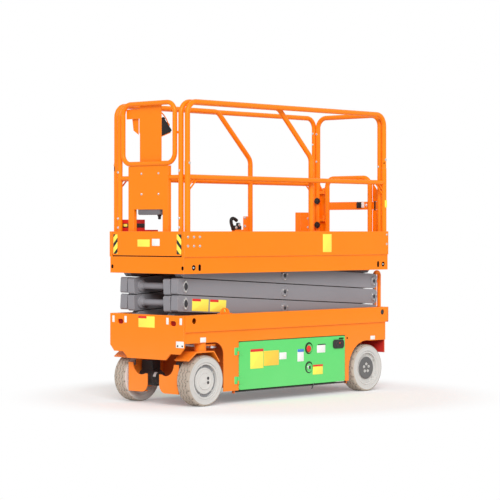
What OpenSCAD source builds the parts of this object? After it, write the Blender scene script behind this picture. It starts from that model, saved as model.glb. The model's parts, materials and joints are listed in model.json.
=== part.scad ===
// Electric slab scissor lift with a sliding deck extension, stowed.
// Millimetres: +X is the steered front end, +Y the left side, +Z up, origin on the ground
// under the middle of the machine.

/* [Overall] */
// Width over the tyres and the platform
overall_w = 810; // [780:1:860]
// Front faces ahead of the middle
nose_x = 1240; // [1235:1:1280]
// Rear edge of chassis and platform behind the middle
tail_x = 1150; // [1145:1:1180]
// Thickness of the folded sheet
sheet_t = 8; // [5:0.5:10]

/* [Wheels] */
// Outer diameter of a tyre
tyre_d = 381; // [365:1:385]
// Width of a tyre
tyre_w = 127; // [115:1:130]
// Diameter of a rim at the tyre's bead
rim_d = 270; // [250:1:285]
// Diameter of the wheel hub
hub_d = 118; // [100:1:140]
// Diameter of the cover on a front hub
front_cover_d = 198; // [150:1:210]
// Diameter of the flange on a rear hub
rear_cover_d = 170; // [140:1:190]
// Diameter of a stub axle
axle_d = 50; // [40:1:60]
// Front wheel centre behind the front face
front_overhang = 230; // [222:1:240]
// Rear wheel centre ahead of the rear edge
rear_overhang = 270; // [262:1:290]

/* [Steering] */
// Diameter of a kingpin
kingpin_d = 50; // [40:1:56]
// Length of a steering arm from kingpin to tie rod
steer_arm_l = 120; // [100:1:130]
// Width of the tie bar
tie_w = 24; // [20:1:28]
// Diameter of a drive motor
motor_d = 130; // [110:1:140]

/* [Chassis] */
// Height of the chassis's top edge
chassis_top_z = 683; // [670:1:700]
// Height of the upper band of the side
band_h = 116; // [100:1:125]
// Ground clearance of the side panels
ground_gap = 98; // [80:1:110]
// How far the upper band stands out from the lower panel
band_step = 12; // [10:0.5:16]
// Width of the flat top beside the scissor well
ledge_w = 75; // [65:1:85]
// Radius of the rear wheel arch
rear_arch_r = 225; // [215:1:235]
// Space above a front tyre in its arch
front_arch_gap = 94; // [88:1:100]
// Radius of the front arch's corner
arch_corner_r = 100; // [60:1:120]
// Strip of panel between door and front arch
hinge_strip = 169; // [150:1:190]
// Height of a door
door_h = 365; // [340:1:375]
// Depth of a tray behind its door
tray_depth = 224; // [200:1:232]

/* [Scissor stack] */
// Number of scissor levels
levels = 3; // [3:1:3]
// Height of an arm
arm_h = 120; // [110:1:124]
// Thickness of an arm
arm_t = 70; // [55:1:72]
// Space between stacked arms
stack_gap = 7.3; // [6:0.1:12]
// Space between the outer and inner arms
lane_gap = 12; // [8:0.5:14]
// Space between the outer arms and the wall of the well
stack_side_gap = 20; // [12:1:30]
// Diameter of the pivot pins
pin_d = 40; // [30:1:46]
// Diameter of the cross tubes
cross_d = 50; // [44:1:60]
// Front pins behind the front face
front_pin_gap = 104.4; // [98:0.1:115]
// Rear pins ahead of the rear edge
rear_pin_gap = 77.3; // [74:0.1:85]
// Diameter of the rollers
roller_d = 60; // [52:1:66]
// Diameter of the lift cylinder's barrel
barrel_d = 90; // [76:1:104]
// Diameter of the lift cylinder's rod
lift_rod_d = 55; // [45:1:65]

/* [Platform] */
// Depth of the skirt below the top pins
skirt_drop = 31.5; // [26:0.5:40]
// Height of the lower skirt
skirt_low_h = 133; // [120:1:140]
// Height of the deck above the top pins
deck_rise = 134.5; // [128:0.5:150]
// Height of the toe boards above the deck
toe_h = 150; // [140:1:170]
// Height of the top rail above the deck
rail_h = 1134; // [1100:1:1160]
// Height of the middle rail above the deck
mid_rail_h = 554; // [500:1:600]
// Diameter of the rail tubes
tube_d = 40; // [34:1:42]
// Diameter of the middle rails
mid_tube_d = 38; // [30:1:39]
// Bend radius at the rails' corners
rail_bend_r = 90; // [70:1:130]
// Length of the sliding extension deck
extension_l = 1540; // [1400:5:1640]
// Top of the entry gate above the deck
gate_h = 617; // [560:1:660]
// Distance of a gate leg from the post beside it
gate_inset = 105; // [95:1:125]

/* [Front guard of the extension] */
// Distance of the front loop from the posts beside it
loop_inset = 50.7; // [44:0.1:70]
// Height of the front loop's lower tube above the middle rail
loop_rise = 106; // [100:1:130]
// Bend radius of the front loop
loop_bend_r = 80; // [60:1:110]
// Half the width of the lower front panel
panel_half_w = 216; // [190:1:230]
// Half the width of the upper plate
upper_half_w = 115; // [90:1:140]

/* [Ladder] */
// Ladder's rear face behind the middle
ladder_x = 1240; // [1225:1:1260]
// Half the distance between the ladder's stringers
ladder_half_w = 245; // [200:1:280]
// Diameter of the ladder's tubes
ladder_d = 32; // [26:1:36]

/* [Hidden] */
$fn = 48;
over = 2;
seat = 0.3;
run_fit = 0.05;
open_fit = 0.8;
clear = 5;

half_w = overall_w / 2;
tyre_r = tyre_d / 2;
wheel_y = half_w - tyre_w / 2;
tyre_in_y = half_w - tyre_w;
axle_z = tyre_r;
front_axle_x = nose_x - front_overhang;
rear_axle_x = rear_overhang - tail_x;

panel_y1 = half_w - band_step;
panel_y0 = panel_y1 - sheet_t;
band_y0 = half_w - sheet_t;
well_y = half_w - ledge_w;
band_z = chassis_top_z - band_h;
arch_top_z = tyre_d + front_arch_gap;
arch_back_share = 1.06;
arch_rear_x = front_axle_x - tyre_r * arch_back_share;
nose_t = 14;
nose_in_x = nose_x - nose_t;
tail_in_x = tail_x - sheet_t;
tail_step = 25;
panel_tail_x = tail_x - tail_step;
rear_lip_drop = 3.5;
rear_lip_z = axle_z + rear_arch_r - rear_lip_drop;

door_front_x = arch_rear_x - hinge_strip;
rear_strip = 49;
door_rear_x = rear_axle_x + rear_arch_r + rear_strip;
door_gap = 5.5;
sill = 2;
door_z0 = ground_gap + sill;
door_z1 = door_z0 + door_h;
hinge_set = 16;
hinge_x = door_front_x + hinge_set;
hinge_d = 11;
hinge_y = panel_y1 + seat + hinge_d / 2;

low_pin_depth = 41.5;
low_pin_z = chassis_top_z - low_pin_depth;
pin_pitch = arm_h + stack_gap;
front_pin_x = nose_x - front_pin_gap;
rear_pin_x = tail_x - rear_pin_gap;
arm_l = norm([front_pin_x + rear_pin_x, pin_pitch]);
stow_angle = asin(pin_pitch / arm_l);
function pin_z(k) = low_pin_z + k * pin_pitch;
outer_y1 = well_y - stack_side_gap;
outer_y0 = outer_y1 - arm_t;
inner_y1 = outer_y0 - lane_gap;
inner_y0 = inner_y1 - arm_t;
ring_t = 4;
ring_share = 2;
ring_d = pin_d * ring_share;
pin_tip_y = outer_y1 + ring_t + over;
floor_gap = 14.5;
floor_z1 = low_pin_z - arm_h / 2 - floor_gap;
floor_t = 12;
floor_z0 = floor_z1 - floor_t;
roller_w = 30;
roller_y0 = inner_y1 + ring_t;
roller_y1 = roller_y0 + roller_w;
top_roller_y1 = outer_y0 - ring_t;
top_roller_y0 = top_roller_y1 - roller_w;
roller_pin_d = 34;
roller_pin_fit = 0.1;
roller_run_share = 0.42;
track_t = 12;

foot_u_share = 0.217;
eye_u_share = 0.635;
eye_v_share = 0.25;
foot_u = arm_l * foot_u_share;
foot_v = -arm_h * eye_v_share;
eye_u = arm_l * eye_u_share;
eye_v = arm_h * eye_v_share;
foot_pos = inner_point(0, foot_u, foot_v);
eye_pos = inner_point(1, eye_u, eye_v);
function inner_point(k, u, v) = [
    u * cos(stow_angle) + v * sin(stow_angle) - rear_pin_x,
    pin_z(k + 1) - u * sin(stow_angle) + v * cos(stow_angle)
];
lift_run = eye_pos - foot_pos;
lift_l = norm(lift_run);
lift_angle = atan2(lift_run[1], lift_run[0]);
barrel_share = 0.76;
rod_depth_share = 0.34;
foot_w = 60;
eye_wall = 34;
foot_d = cross_d + eye_wall;
eye_side_gap = 10;

skirt_z0 = pin_z(levels) - skirt_drop;
skirt_z1 = skirt_z0 + skirt_low_h;
deck_z = pin_z(levels) + deck_rise;
deck_t = 12;
toe_z = deck_z + toe_h;
top_rail_z = deck_z + rail_h - tube_d / 2;
mid_rail_z = deck_z + mid_rail_h;
sleeve_t = 4;
sleeve_d = tube_d + sleeve_t;
main_rail_y = half_w - sleeve_d / 2;
sleeve_share = 0.46;
post_in_share = 1.35;
main_front_x = nose_x - tube_d * post_in_share;
rear_in_share = 0.8;
main_rear_x = tail_x - tube_d * rear_in_share;
toe_t = 5;
ext_half_w = main_rail_y - sleeve_d / 2 - clear;
ext_rail_y = ext_half_w - toe_t - seat - tube_d / 2;
ext_deck_t = 10;
ext_deck_gap = 5;
ext_deck_z1 = deck_z + ext_deck_gap + ext_deck_t;
ext_front_x = nose_x - nose_t - tube_d / 2 - clear;
ext_rear_x = nose_x - extension_l;
ext_top_l = 1076;
ext_slope_top_x = ext_front_x - ext_top_l;
rail_slope_run = 386;
ext_post_x = ext_slope_top_x - rail_slope_run;
rail_slope_drop = 379;
flange_w = sleeve_d;
skirt_step = 8;
skirt_y1 = half_w - skirt_step;
skirt_y0 = skirt_y1 - sheet_t;
toe_y0 = half_w - sheet_t;

loop_tube_d = 36;
loop_out = 12;
loop_x = ext_front_x + (tube_d - loop_tube_d) / 2 + loop_out;
loop_top_z = top_rail_z;
loop_low_z = mid_rail_z + loop_rise;
loop_half_w = ext_rail_y - loop_inset;
panel_drop = 327;
leg_w = 60;
plate_t = 6;

orange = "#f5871f";
orange_dark = "#d96a10";
arm_grey = "#95929a";
door_green = "#6fe082";
tyre_pale = "#cfcac2";
black = "#2b2b2d";
steel = "#b9bcc0";
red = "#d02020";

// Shapes that repeat

// Children and their mirror image on the other side
module pair() {
    children();
    mirror([0, 1, 0]) children();
}

// Children on the left side, or mirrored to the right
module on_side(right) {
    mirror([0, right ? 1 : 0, 0]) children();
}

// Box between two corners
module block(lo, hi) {
    translate(lo) cube(hi - lo);
}

// Round bars along the three axes
module rod_x(y, z, x0, x1, d) {
    translate([x0, y, z]) rotate([0, 90, 0]) cylinder(h = x1 - x0, d = d);
}

module rod_y(x, z, y0, y1, d) {
    translate([x, y0, z]) rotate([-90, 0, 0]) cylinder(h = y1 - y0, d = d);
}

module rod_z(x, y, z0, z1, d) {
    translate([x, y, z0]) cylinder(h = z1 - z0, d = d);
}

// Plates cut from an outline seen from the side, from the front and from above
module side_slab(y0, y1) {
    translate([0, y1, 0]) rotate([90, 0, 0]) linear_extrude(y1 - y0) children();
}

module front_slab(x0, x1) {
    translate([x0, 0, 0]) rotate([90, 0, 90]) linear_extrude(x1 - x0) children();
}

module flat_slab(z0, z1) {
    translate([0, 0, z0]) linear_extrude(z1 - z0) children();
}

// Outline of a rectangle with round corners
module round_rect(lo, hi, r) {
    size = hi - lo;
    translate(lo + [r, 0]) square([size[0] - 2 * r, size[1]]);
    translate(lo + [0, r]) square([size[0], size[1] - 2 * r]);
    for (x = [lo[0] + r, hi[0] - r], y = [lo[1] + r, hi[1] - r])
        translate([x, y]) circle(r);
}

// Round tube along a flat path with rounded corners
function heading(a, b) = atan2(b[1] - a[1], b[0] - a[0]);
function turn_at(path, i) =
    let (n = len(path), p = path[(i + n - 1) % n], q = path[i], r = path[(i + 1) % n])
    let (t = heading(q, r) - heading(p, q))
    t > 180 ? t - 360 : t < -180 ? t + 360 : t;
function trim_at(path, i, bend) = bend * tan(abs(turn_at(path, i)) / 2);

// The bends are a hair thinner than the straights, which lap over them
bend_share = 0.985;
lap_share = 0.06;

module bent_tube(path, bend, d, loop = false) {
    n = len(path);
    lap = d * lap_share;
    for (i = [0 : loop ? n - 1 : n - 2]) {
        a = path[i];
        b = path[(i + 1) % n];
        cut_a = loop || i > 0 ? trim_at(path, i, bend) - lap : 0;
        cut_b = loop || i < n - 2 ? trim_at(path, (i + 1) % n, bend) - lap : 0;
        translate(a) rotate([0, 0, heading(a, b)]) translate([cut_a, 0, 0]) rotate([0, 90, 0])
            cylinder(h = norm(b - a) - cut_a - cut_b, d = d);
    }
    for (i = [loop ? 0 : 1 : loop ? n - 1 : n - 2]) {
        turn = turn_at(path, i);
        into = heading(path[(i + n - 1) % n], path[i]);
        translate(path[i]) rotate([0, 0, into]) translate([-trim_at(path, i, bend), 0, 0])
            translate([0, sign(turn) * bend, 0])
                rotate([0, 0, turn > 0 ? -90 : 90 + turn])
                    rotate_extrude(angle = abs(turn)) translate([bend, 0]) circle(d = d * bend_share);
    }
}

// Chassis

// Outline of the front wheel's arch, open at the bottom and the front
module front_arch() {
    r = arch_corner_r;
    translate([arch_rear_x, 0]) square([nose_x - arch_rear_x, arch_top_z - r]);
    translate([arch_rear_x + r, 0]) square([nose_x - arch_rear_x - r, arch_top_z]);
    translate([arch_rear_x + r, arch_top_z - r]) circle(r);
}

// Outline of the rear wheel's arch, cut away behind the wheel
module rear_arch() {
    translate([rear_axle_x, axle_z]) circle(rear_arch_r);
    translate([rear_axle_x - rear_arch_r, 0]) square([2 * rear_arch_r, axle_z]);
    translate([-tail_x, 0]) square([tail_x + rear_axle_x, rear_lip_z]);
}

pin_hole_d = 45;
front_pin_hole = [front_pin_x, low_pin_z];
rear_pin_hole = [-rear_pin_x, low_pin_z];

module side_outline() {
    difference() {
        translate([-panel_tail_x, ground_gap])
            square([panel_tail_x + nose_in_x, band_z - ground_gap]);
        front_arch();
        rear_arch();
        translate([door_rear_x - door_gap, 0])
            square([door_front_x - door_rear_x + 2 * door_gap, door_z1 + door_gap]);
    }
}

module band_outline() {
    difference() {
        translate([-tail_in_x, band_z]) square([tail_in_x + nose_in_x, band_h]);
        for (hole = [front_pin_hole, rear_pin_hole]) translate(hole) circle(d = pin_hole_d);
    }
}

// Side of the chassis: lower panel, band that stands out over it, ledge and wall of the well
module side_panel(right) {
    on_side(right) color(orange) {
        side_slab(panel_y0, panel_y1) side_outline();
        side_slab(band_y0, half_w) band_outline();
        block([-panel_tail_x, panel_y0, band_z - sheet_t], [nose_in_x, half_w, band_z]);
        block([-tail_in_x, panel_y0, band_z], [nose_in_x, half_w - sheet_t, band_z + sheet_t]);
        block([-tail_in_x, well_y, chassis_top_z - sheet_t], [nose_in_x, half_w, chassis_top_z]);
        block([-tail_in_x, well_y, floor_z1], [nose_in_x, well_y + sheet_t, chassis_top_z]);
        // Fixed leaf and lower half knuckle of each door hinge
        for (s = hinge_z_shares) {
            z = door_z0 + door_h * s;
            block([hinge_x + hinge_d / 2 + seat, panel_y1 - over, z - hinge_h / 2],
                [hinge_x + hinge_leaf, panel_y1 + hinge_leaf_t, z + hinge_h / 2]);
            block([hinge_x, panel_y1 - over, z - hinge_h / 2],
                [hinge_x + hinge_leaf, panel_y1 + hinge_leaf_t, z - seat]);
            rod_z(hinge_x, hinge_y, z - hinge_h / 2, z - seat, hinge_d);
        }
    }
}

module side_panel_left() { side_panel(false); }
module side_panel_right() { side_panel(true); }

spine_gap = 11;
tray_y0 = panel_y0 - tray_depth;
spine_y1 = tray_y0 - spine_gap;
spine_w = 50;
spine_z0 = 120;
spine_h = 180;
bay_front_gap = 46;
bay_front_x = door_front_x + bay_front_gap;
bay_rear_x = door_rear_x - rear_strip + sheet_t + clear;
kingpin_house_w = 84;
kingpin_house_l = 200;
kingpin_top_z = floor_z0 - seat;
thrust_gap = 6;
bracket_t = 12;
bracket_w = 110;

// Floor under the scissor with kingpin housings, roller tracks and rear pins
module chassis_frame() {
    color(orange_dark) {
        block([-panel_tail_x + sheet_t, -panel_y0 + seat, floor_z0],
            [nose_in_x - seat, panel_y0 - seat, floor_z1]);
        pair() {
            // Kingpin housing under the floor
            difference() {
                translate([front_axle_x - kingpin_house_l / 2, wheel_y - kingpin_house_w / 2,
                    arch_top_z + thrust_gap])
                    cube([kingpin_house_l, kingpin_house_w, floor_z0 - arch_top_z - thrust_gap]);
                rod_z(front_axle_x, wheel_y, arch_top_z, floor_z0, kingpin_d + 2 * run_fit);
            }
            // Track of the lower roller, carried by the wall of the well
            block([front_pin_x - arm_l * roller_run_share, roller_y0 + over,
                low_pin_z - roller_d / 2 - seat - track_t],
                [nose_in_x - seat, well_y - seat, low_pin_z - roller_d / 2 - seat]);
            block([front_pin_x - arm_l * roller_run_share, roller_y0 + over, floor_z1],
                [nose_in_x - seat, roller_y0 + over + track_t, low_pin_z - roller_d / 2 - seat]);
            // Bracket and pin of the lowest outer arm
            block([-rear_pin_x - bracket_w / 4, outer_y1 + clear, floor_z1],
                [-rear_pin_x + bracket_w / 2, well_y - seat, low_pin_z + pin_d]);
            rod_y(-rear_pin_x, low_pin_z, inner_y1, outer_y1 + clear, pin_d);
            block([-rear_pin_x - bracket_w / 4, inner_y1 - bracket_t, floor_z1],
                [-rear_pin_x + bracket_w / 2, inner_y1, low_pin_z + pin_d]);
        }
    }
}

// Spine between the tray bays with bulkheads, uprights to the floor and the guards' brackets
module chassis_spine() {
    color(orange_dark) {
        pair() block([-panel_tail_x + sheet_t, spine_y1 - spine_w, spine_z0],
            [bay_front_x, spine_y1, spine_z0 + spine_h]);
        for (x = [bay_rear_x, bay_front_x - sheet_t])
            block([x, -panel_y0 + seat, spine_z0], [x + sheet_t, panel_y0 - seat, floor_z0]);
        // Brackets that hold the ends of the pothole guards' rods
        for (x = [bay_rear_x, bay_front_x - sheet_t])
            pair() block([x, guard_rod_y - guard_rod_d, guard_rod_z - guard_rod_d],
                [x + sheet_t, panel_y0 - seat, spine_z0 + over]);
        block([-panel_tail_x + sheet_t, -spine_y1, spine_z0],
            [-panel_tail_x + 2 * sheet_t, spine_y1, floor_z0]);
        for (x_share = spine_cross_shares)
            block([bay_front_x * x_share - spine_w / 2, -spine_y1 + spine_w, spine_z0],
                [bay_front_x * x_share + spine_w / 2, spine_y1 - spine_w, floor_z0]);
    }
}
spine_cross_shares = [-0.72, 0.1, 0.85];

// Outline of the front plate, with its lower corners stepped up over the wheels
plate_side_z = 443;
plate_step_z = 395;
plate_low_z = 348;
plate_chamfer = 45;
plate_step_y = 255;
plate_low_y = 205;
tie_slot_y = 285;
tie_slot_drop = 60;
tie_slot_l = 65;
tie_slot_h = 37;

module front_plate() {
    edge = half_w - band_step / 2;
    side = [[plate_low_y, plate_low_z], [plate_step_y, plate_step_z],
        [edge - plate_chamfer, plate_step_z], [edge, plate_side_z], [edge, chassis_top_z]];
    other = [for (i = [len(side) - 1 : -1 : 0]) [-side[i][0], side[i][1]]];
    color(orange) difference() {
        front_slab(nose_in_x, nose_x) polygon(concat(side, other));
        pair() front_slab(nose_in_x - over, nose_x + over)
            translate([tie_slot_y - tie_slot_l / 2, chassis_top_z - tie_slot_drop - tie_slot_h / 2])
                round_rect([0, 0], [tie_slot_l, tie_slot_h], tie_slot_h / 2 * near_one_share);
    }
}
near_one_share = 0.98;

rear_low_z = 306;

module rear_plate() {
    y = panel_y0 - seat;
    color(orange_dark) {
        block([-panel_tail_x, -y, rear_low_z], [-panel_tail_x + sheet_t, y, band_z]);
        block([-tail_x, -y, band_z - sheet_t], [-panel_tail_x + sheet_t, y, band_z]);
        block([-tail_x, -half_w, band_z - sheet_t], [-tail_in_x, half_w, chassis_top_z]);
    }
}

rung_count = 3;
ladder_low_z = 330;
ladder_top_gap = 8;
ladder_bend_r = 28;
ladder_depth = 57;
rung_depth = 40;
rung_t = 20;
function rung_z(i) = ladder_low_z + 2 * ladder_bend_r
    + i * (skirt_z0 - ladder_low_z - 6 * ladder_bend_r) / (rung_count - 1);

// Entry ladder: two bent stringers on the rear plate with flat rungs between them
module entry_ladder() {
    out = ladder_x - ladder_d / 2;
    top = skirt_z0 - ladder_top_gap - ladder_d / 2;
    foot_z = chassis_top_z - band_h * 3 / 4;
    color(orange) {
        pair() {
            translate([0, ladder_half_w, 0]) rotate([90, 0, 0])
                bent_tube([[-panel_tail_x, ladder_low_z], [-out, ladder_low_z], [-out, top],
                    [-out + ladder_depth, top], [-out + ladder_depth, foot_z]],
                    ladder_bend_r, ladder_d);
            block([-out + ladder_depth, ladder_half_w - ladder_d / 4, foot_z],
                [-tail_x, ladder_half_w + ladder_d / 4, chassis_top_z - ladder_d]);
        }
        for (i = [0 : rung_count - 1])
            block([-out - rung_depth / 4, -ladder_half_w, rung_z(i)],
                [-out + rung_depth * 3 / 4, ladder_half_w, rung_z(i) + rung_t]);
    }
}

carrier_t = 16;
carrier_l = 160;
carrier_z0 = 105;
axle_cap_gap = 34;
axle_y1 = half_w - axle_cap_gap;

// Plates under the floor that carry the rear stub axles
module rear_axles() {
    y1 = tyre_in_y - clear;
    color(orange_dark) pair() {
        block([rear_axle_x - carrier_l / 2, y1 - carrier_t, carrier_z0],
            [rear_axle_x + carrier_l / 2, y1, floor_z0]);
        rod_y(rear_axle_x, axle_z, y1 - carrier_t, axle_y1, axle_d);
    }
}

lug_l = 150;
lug_h = 47;
lug_t = 14;
lug_bore_d = 34;
lug_base_h = 6;
lug_back = 240;

// Tie-down lugs welded on the ledges
module tie_down_lugs() {
    x = front_axle_x - lug_back;
    y = half_w - ledge_w / 2;
    color(orange) pair() difference() {
        side_slab(y - lug_t / 2, y + lug_t / 2) translate([x, chassis_top_z]) {
            difference() {
                circle(lug_h);
                translate([-lug_l, -lug_l]) square([2 * lug_l, lug_l]);
            }
            translate([-lug_l / 2, 0]) square([lug_l, lug_base_h]);
        }
        rod_y(x, chassis_top_z + lug_h / 2, y - lug_t, y + lug_t, lug_bore_d);
    }
}

guard_rod_d = 12;
guard_w = 73;
guard_t = 6;
guard_rod_y = panel_y0 - guard_rod_d;
guard_drop = 10;
guard_rod_z = ground_gap - guard_drop;

// Pothole guard: a plate on a rod under the tray bay, folded flat
module pothole_guard(right) {
    x0 = bay_rear_x + sheet_t + seat;
    x1 = bay_front_x - sheet_t - seat;
    on_side(right) color(black) {
        rod_x(guard_rod_y, guard_rod_z, x0, x1, guard_rod_d);
        block([x0 + guard_w, guard_rod_y - guard_w, guard_rod_z - guard_t / 2],
            [x1 - guard_w, guard_rod_y, guard_rod_z + guard_t / 2]);
    }
}

module pothole_guard_left() { pothole_guard(false); }
module pothole_guard_right() { pothole_guard(true); }

// Steering and wheels

leg_gap = 8;
leg_t = 12;
leg_y1 = tyre_in_y - leg_gap;
leg_y0 = leg_y1 - leg_t;
leg_l = 160;
leg_z0 = 112;
fender_t = 8;
// Corners of the fender round the wheel centre, as shares of the tyre's radius
fender_shares = [[0.99, 0.84], [0.525, 1.16], [-0.475, 1.16], [-0.79, 0.74]];
fender_z = axle_z + tyre_r * fender_shares[1][1];
knuckle_d = 90;
steer_arm_w = 44;
steer_arm_t = 14;
steer_pin_d = 20;
tie_eye_d = 44;
tie_eye_h = 16;
tie_back = 45;
steer_arm_drop = 14;
steer_arm_z1 = arch_top_z - steer_arm_drop;
steer_arm_z0 = steer_arm_z1 - steer_arm_t;
tie_eye_z1 = steer_arm_z0 - over;
tie_eye_z0 = tie_eye_z1 - tie_eye_h;
toe_guard_share = 0.79;
toe_guard_x = front_axle_x + tyre_r * toe_guard_share;
toe_guard_z0 = 91;
toe_guard_h = 220;
toe_guard_in_y = 65;
toe_guard_r = 90;
// Round cut beside the motor: its distance from the inner edge, and the height left beside it
toe_guard_cut = 66;
toe_guard_inner_h = 140;
toe_guard_low_r = 64;
toe_guard_fold = 60;
spindle_gap = 34;
spindle_y1 = half_w - spindle_gap;

// Steering yoke: kingpin and knuckle, fender over the tyre, leg with spindle, front guard plate
module yoke(right) {
    outer = [for (p = fender_shares) [front_axle_x, axle_z] + tyre_r * p];
    inner = [for (i = [len(fender_shares) - 1 : -1 : 0])
        [front_axle_x, axle_z] + (tyre_r - fender_t) * fender_shares[i]];
    on_side(right) color(orange) {
        rod_z(front_axle_x, wheel_y, fender_z - fender_t, kingpin_top_z, kingpin_d);
        rod_z(front_axle_x, wheel_y, fender_z - fender_t / 2, arch_top_z - over, knuckle_d);
        side_slab(leg_y0, half_w - sheet_t / 2) polygon(concat(outer, inner));
        block([front_axle_x - leg_l / 2, leg_y0, leg_z0],
            [front_axle_x + leg_l / 2, leg_y1, fender_z - fender_t / 2]);
        rod_y(front_axle_x, axle_z, leg_y0, spindle_y1, axle_d);
        // Steering arm and its pin
        block([front_axle_x - steer_arm_l - steer_arm_w / 2, wheel_y - steer_arm_w / 2, steer_arm_z0],
            [front_axle_x, wheel_y + steer_arm_w / 2, steer_arm_z1]);
        rod_z(front_axle_x - steer_arm_l, wheel_y, tie_eye_z0 - over, steer_arm_z0 + over, steer_pin_d);
        // Guard plate in front of the motor, on a bracket from the leg
        front_slab(toe_guard_x, toe_guard_x + sheet_t) difference() {
            translate([toe_guard_in_y, toe_guard_z0]) {
                translate([toe_guard_low_r, 0]) square([leg_y1 - toe_guard_in_y - toe_guard_low_r, toe_guard_h]);
                translate([0, toe_guard_low_r]) square([toe_guard_low_r + over, toe_guard_inner_h - toe_guard_low_r]);
                translate([toe_guard_low_r, toe_guard_low_r]) circle(toe_guard_low_r);
            }
            translate([toe_guard_in_y + toe_guard_cut, toe_guard_z0 + toe_guard_h]) circle(toe_guard_r);
            translate([toe_guard_in_y, toe_guard_z0 + toe_guard_inner_h]) square([toe_guard_cut, toe_guard_h]);
        }
        block([toe_guard_x - toe_guard_fold, toe_guard_in_y + toe_guard_low_r, toe_guard_z0],
            [toe_guard_x, leg_y0, toe_guard_z0 + sheet_t]);
        block([front_axle_x + leg_l / 4, leg_y0, leg_z0],
            [toe_guard_x, leg_y1, axle_z + tyre_r / 2]);
    }
}

module yoke_left() { yoke(false); }
module yoke_right() { yoke(true); }

motor_in_y = 84;
motor_cap_d_share = 0.8;
motor_cap_l = 30;
terminal_l = 84;
terminal_h = 66;
terminal_in = 14;

// Drive motor on the inside of its yoke, with its terminal box
module drive_motor(right) {
    on_side(right) color(black) {
        rod_y(front_axle_x, axle_z, motor_in_y + motor_cap_l, leg_y0, motor_d);
        rod_y(front_axle_x, axle_z, motor_in_y, motor_in_y + motor_cap_l, motor_d * motor_cap_d_share);
        block([front_axle_x - terminal_l / 2, motor_in_y + motor_cap_l + terminal_in, axle_z],
            [front_axle_x + terminal_l / 2, leg_y0 - terminal_in, axle_z + motor_d / 2 + terminal_h]);
    }
}

module drive_motor_left() { drive_motor(false); }
module drive_motor_right() { drive_motor(true); }

// Tie bar between the steering arms, bent back so that it passes the kingpins at full lock
module tie_rod() {
    x = front_axle_x - steer_arm_l;
    color(steel) difference() {
        union() {
            block([x - tie_back - tie_w / 2, -wheel_y - tie_w / 2, tie_eye_z0],
                [x - tie_back + tie_w / 2, wheel_y + tie_w / 2, tie_eye_z1]);
            pair() {
                block([x - tie_back, wheel_y - tie_w / 2, tie_eye_z0],
                    [x, wheel_y + tie_w / 2, tie_eye_z1]);
                rod_z(x, wheel_y, tie_eye_z0, tie_eye_z1, tie_eye_d);
            }
        }
        rod_z(x, wheel_y, tie_eye_z0 - over, tie_eye_z1 + over, steer_pin_d + 2 * run_fit);
        rod_z(x, -wheel_y, tie_eye_z0 - over, tie_eye_z1 + over, steer_pin_d + 2 * open_fit);
    }
}

shoulder_r = 16;
rim_wall = 12;
rim_disc_t = 14;
rim_dish = 22;
rim_w_share = 0.9;
cover_lap = 0.5;

// Solid tyre with round shoulders, turned about the axle
module tyre(x, right) {
    on_side(right) color(tyre_pale) translate([x, wheel_y, axle_z]) rotate([90, 0, 0])
        rotate_extrude()
            round_rect([rim_d / 2, -tyre_w / 2], [tyre_r, tyre_w / 2], shoulder_r);
}

// Wheel: rim band, dished disc, hub bored for the axle and the cover over its end
module rim(x, right, cover_d) {
    w = tyre_w * rim_w_share;
    r = rim_d / 2 - seat;
    bore = axle_d / 2 + run_fit;
    on_side(right) color(tyre_pale) translate([x, wheel_y, axle_z]) rotate([90, 0, 0])
        rotate_extrude() {
            translate([r - rim_wall, -w / 2]) square([rim_wall, w]);
            translate([bore, rim_dish - w / 2]) square([r - bore, rim_disc_t]);
            translate([bore, rim_dish / 2 - w / 2]) square([hub_d / 2 - bore, w - rim_dish]);
            translate([0, rim_dish / 2 - w / 2]) square([cover_d / 2, rim_dish / 2 + cover_lap]);
        }
}

module tyre_front_left() { tyre(front_axle_x, false); }
module tyre_front_right() { tyre(front_axle_x, true); }
module tyre_rear_left() { tyre(rear_axle_x, false); }
module tyre_rear_right() { tyre(rear_axle_x, true); }
module rim_front_left() { rim(front_axle_x, false, front_cover_d); }
module rim_front_right() { rim(front_axle_x, true, front_cover_d); }
module rim_rear_left() { rim(rear_axle_x, false, rear_cover_d); }
module rim_rear_right() { rim(rear_axle_x, true, rear_cover_d); }

// Doors and trays

door_corner_r = 14;
hinge_leaf = 40;
hinge_leaf_t = 3;
hinge_h = 60;
hinge_z_shares = [0.2, 0.81];
recess_d = 96;
recess_depth = 5;
// Places of the round recesses along and up the door
recess_shares = [[0.647, 0.775], [0.648, 0.36]];
button_d = 44;
button_h = 4;

module door(right) {
    l = door_front_x - door_rear_x;
    on_side(right) color(door_green) {
        difference() {
            side_slab(panel_y0, panel_y1)
                round_rect([door_rear_x, door_z0], [door_front_x, door_z1], door_corner_r);
            for (s = recess_shares)
                rod_y(door_front_x - l * s[0], door_z0 + door_h * s[1],
                    panel_y1 - recess_depth, panel_y1 + over, recess_d);
        }
        for (s = recess_shares)
            rod_y(door_front_x - l * s[0], door_z0 + door_h * s[1],
                panel_y0 + over / 2, panel_y1 - recess_depth + button_h, button_d);
        // Door's leaf and half knuckle of each hinge
        for (s = hinge_z_shares) {
            z = door_z0 + door_h * s;
            block([door_front_x - hinge_leaf, panel_y1 - over, z - hinge_h / 2],
                [door_front_x, panel_y1 + hinge_leaf_t, z + hinge_h / 2]);
            block([door_front_x - over, panel_y1 + seat, z + seat],
                [hinge_x, panel_y1 + hinge_leaf_t, z + hinge_h / 2]);
            rod_z(hinge_x, hinge_y, z + seat, z + hinge_h / 2, hinge_d);
        }
    }
}

module door_left() { door(false); }
module door_right() { door(true); }

tray_t = 6;
tray_z0 = door_z0 + clear;
tray_rear_gap = 55;
tray_front_gap = 22;
tray_wall_h = 120;
tray_x0 = door_rear_x + tray_rear_gap;
tray_x1 = door_front_x - tray_front_gap;

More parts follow.
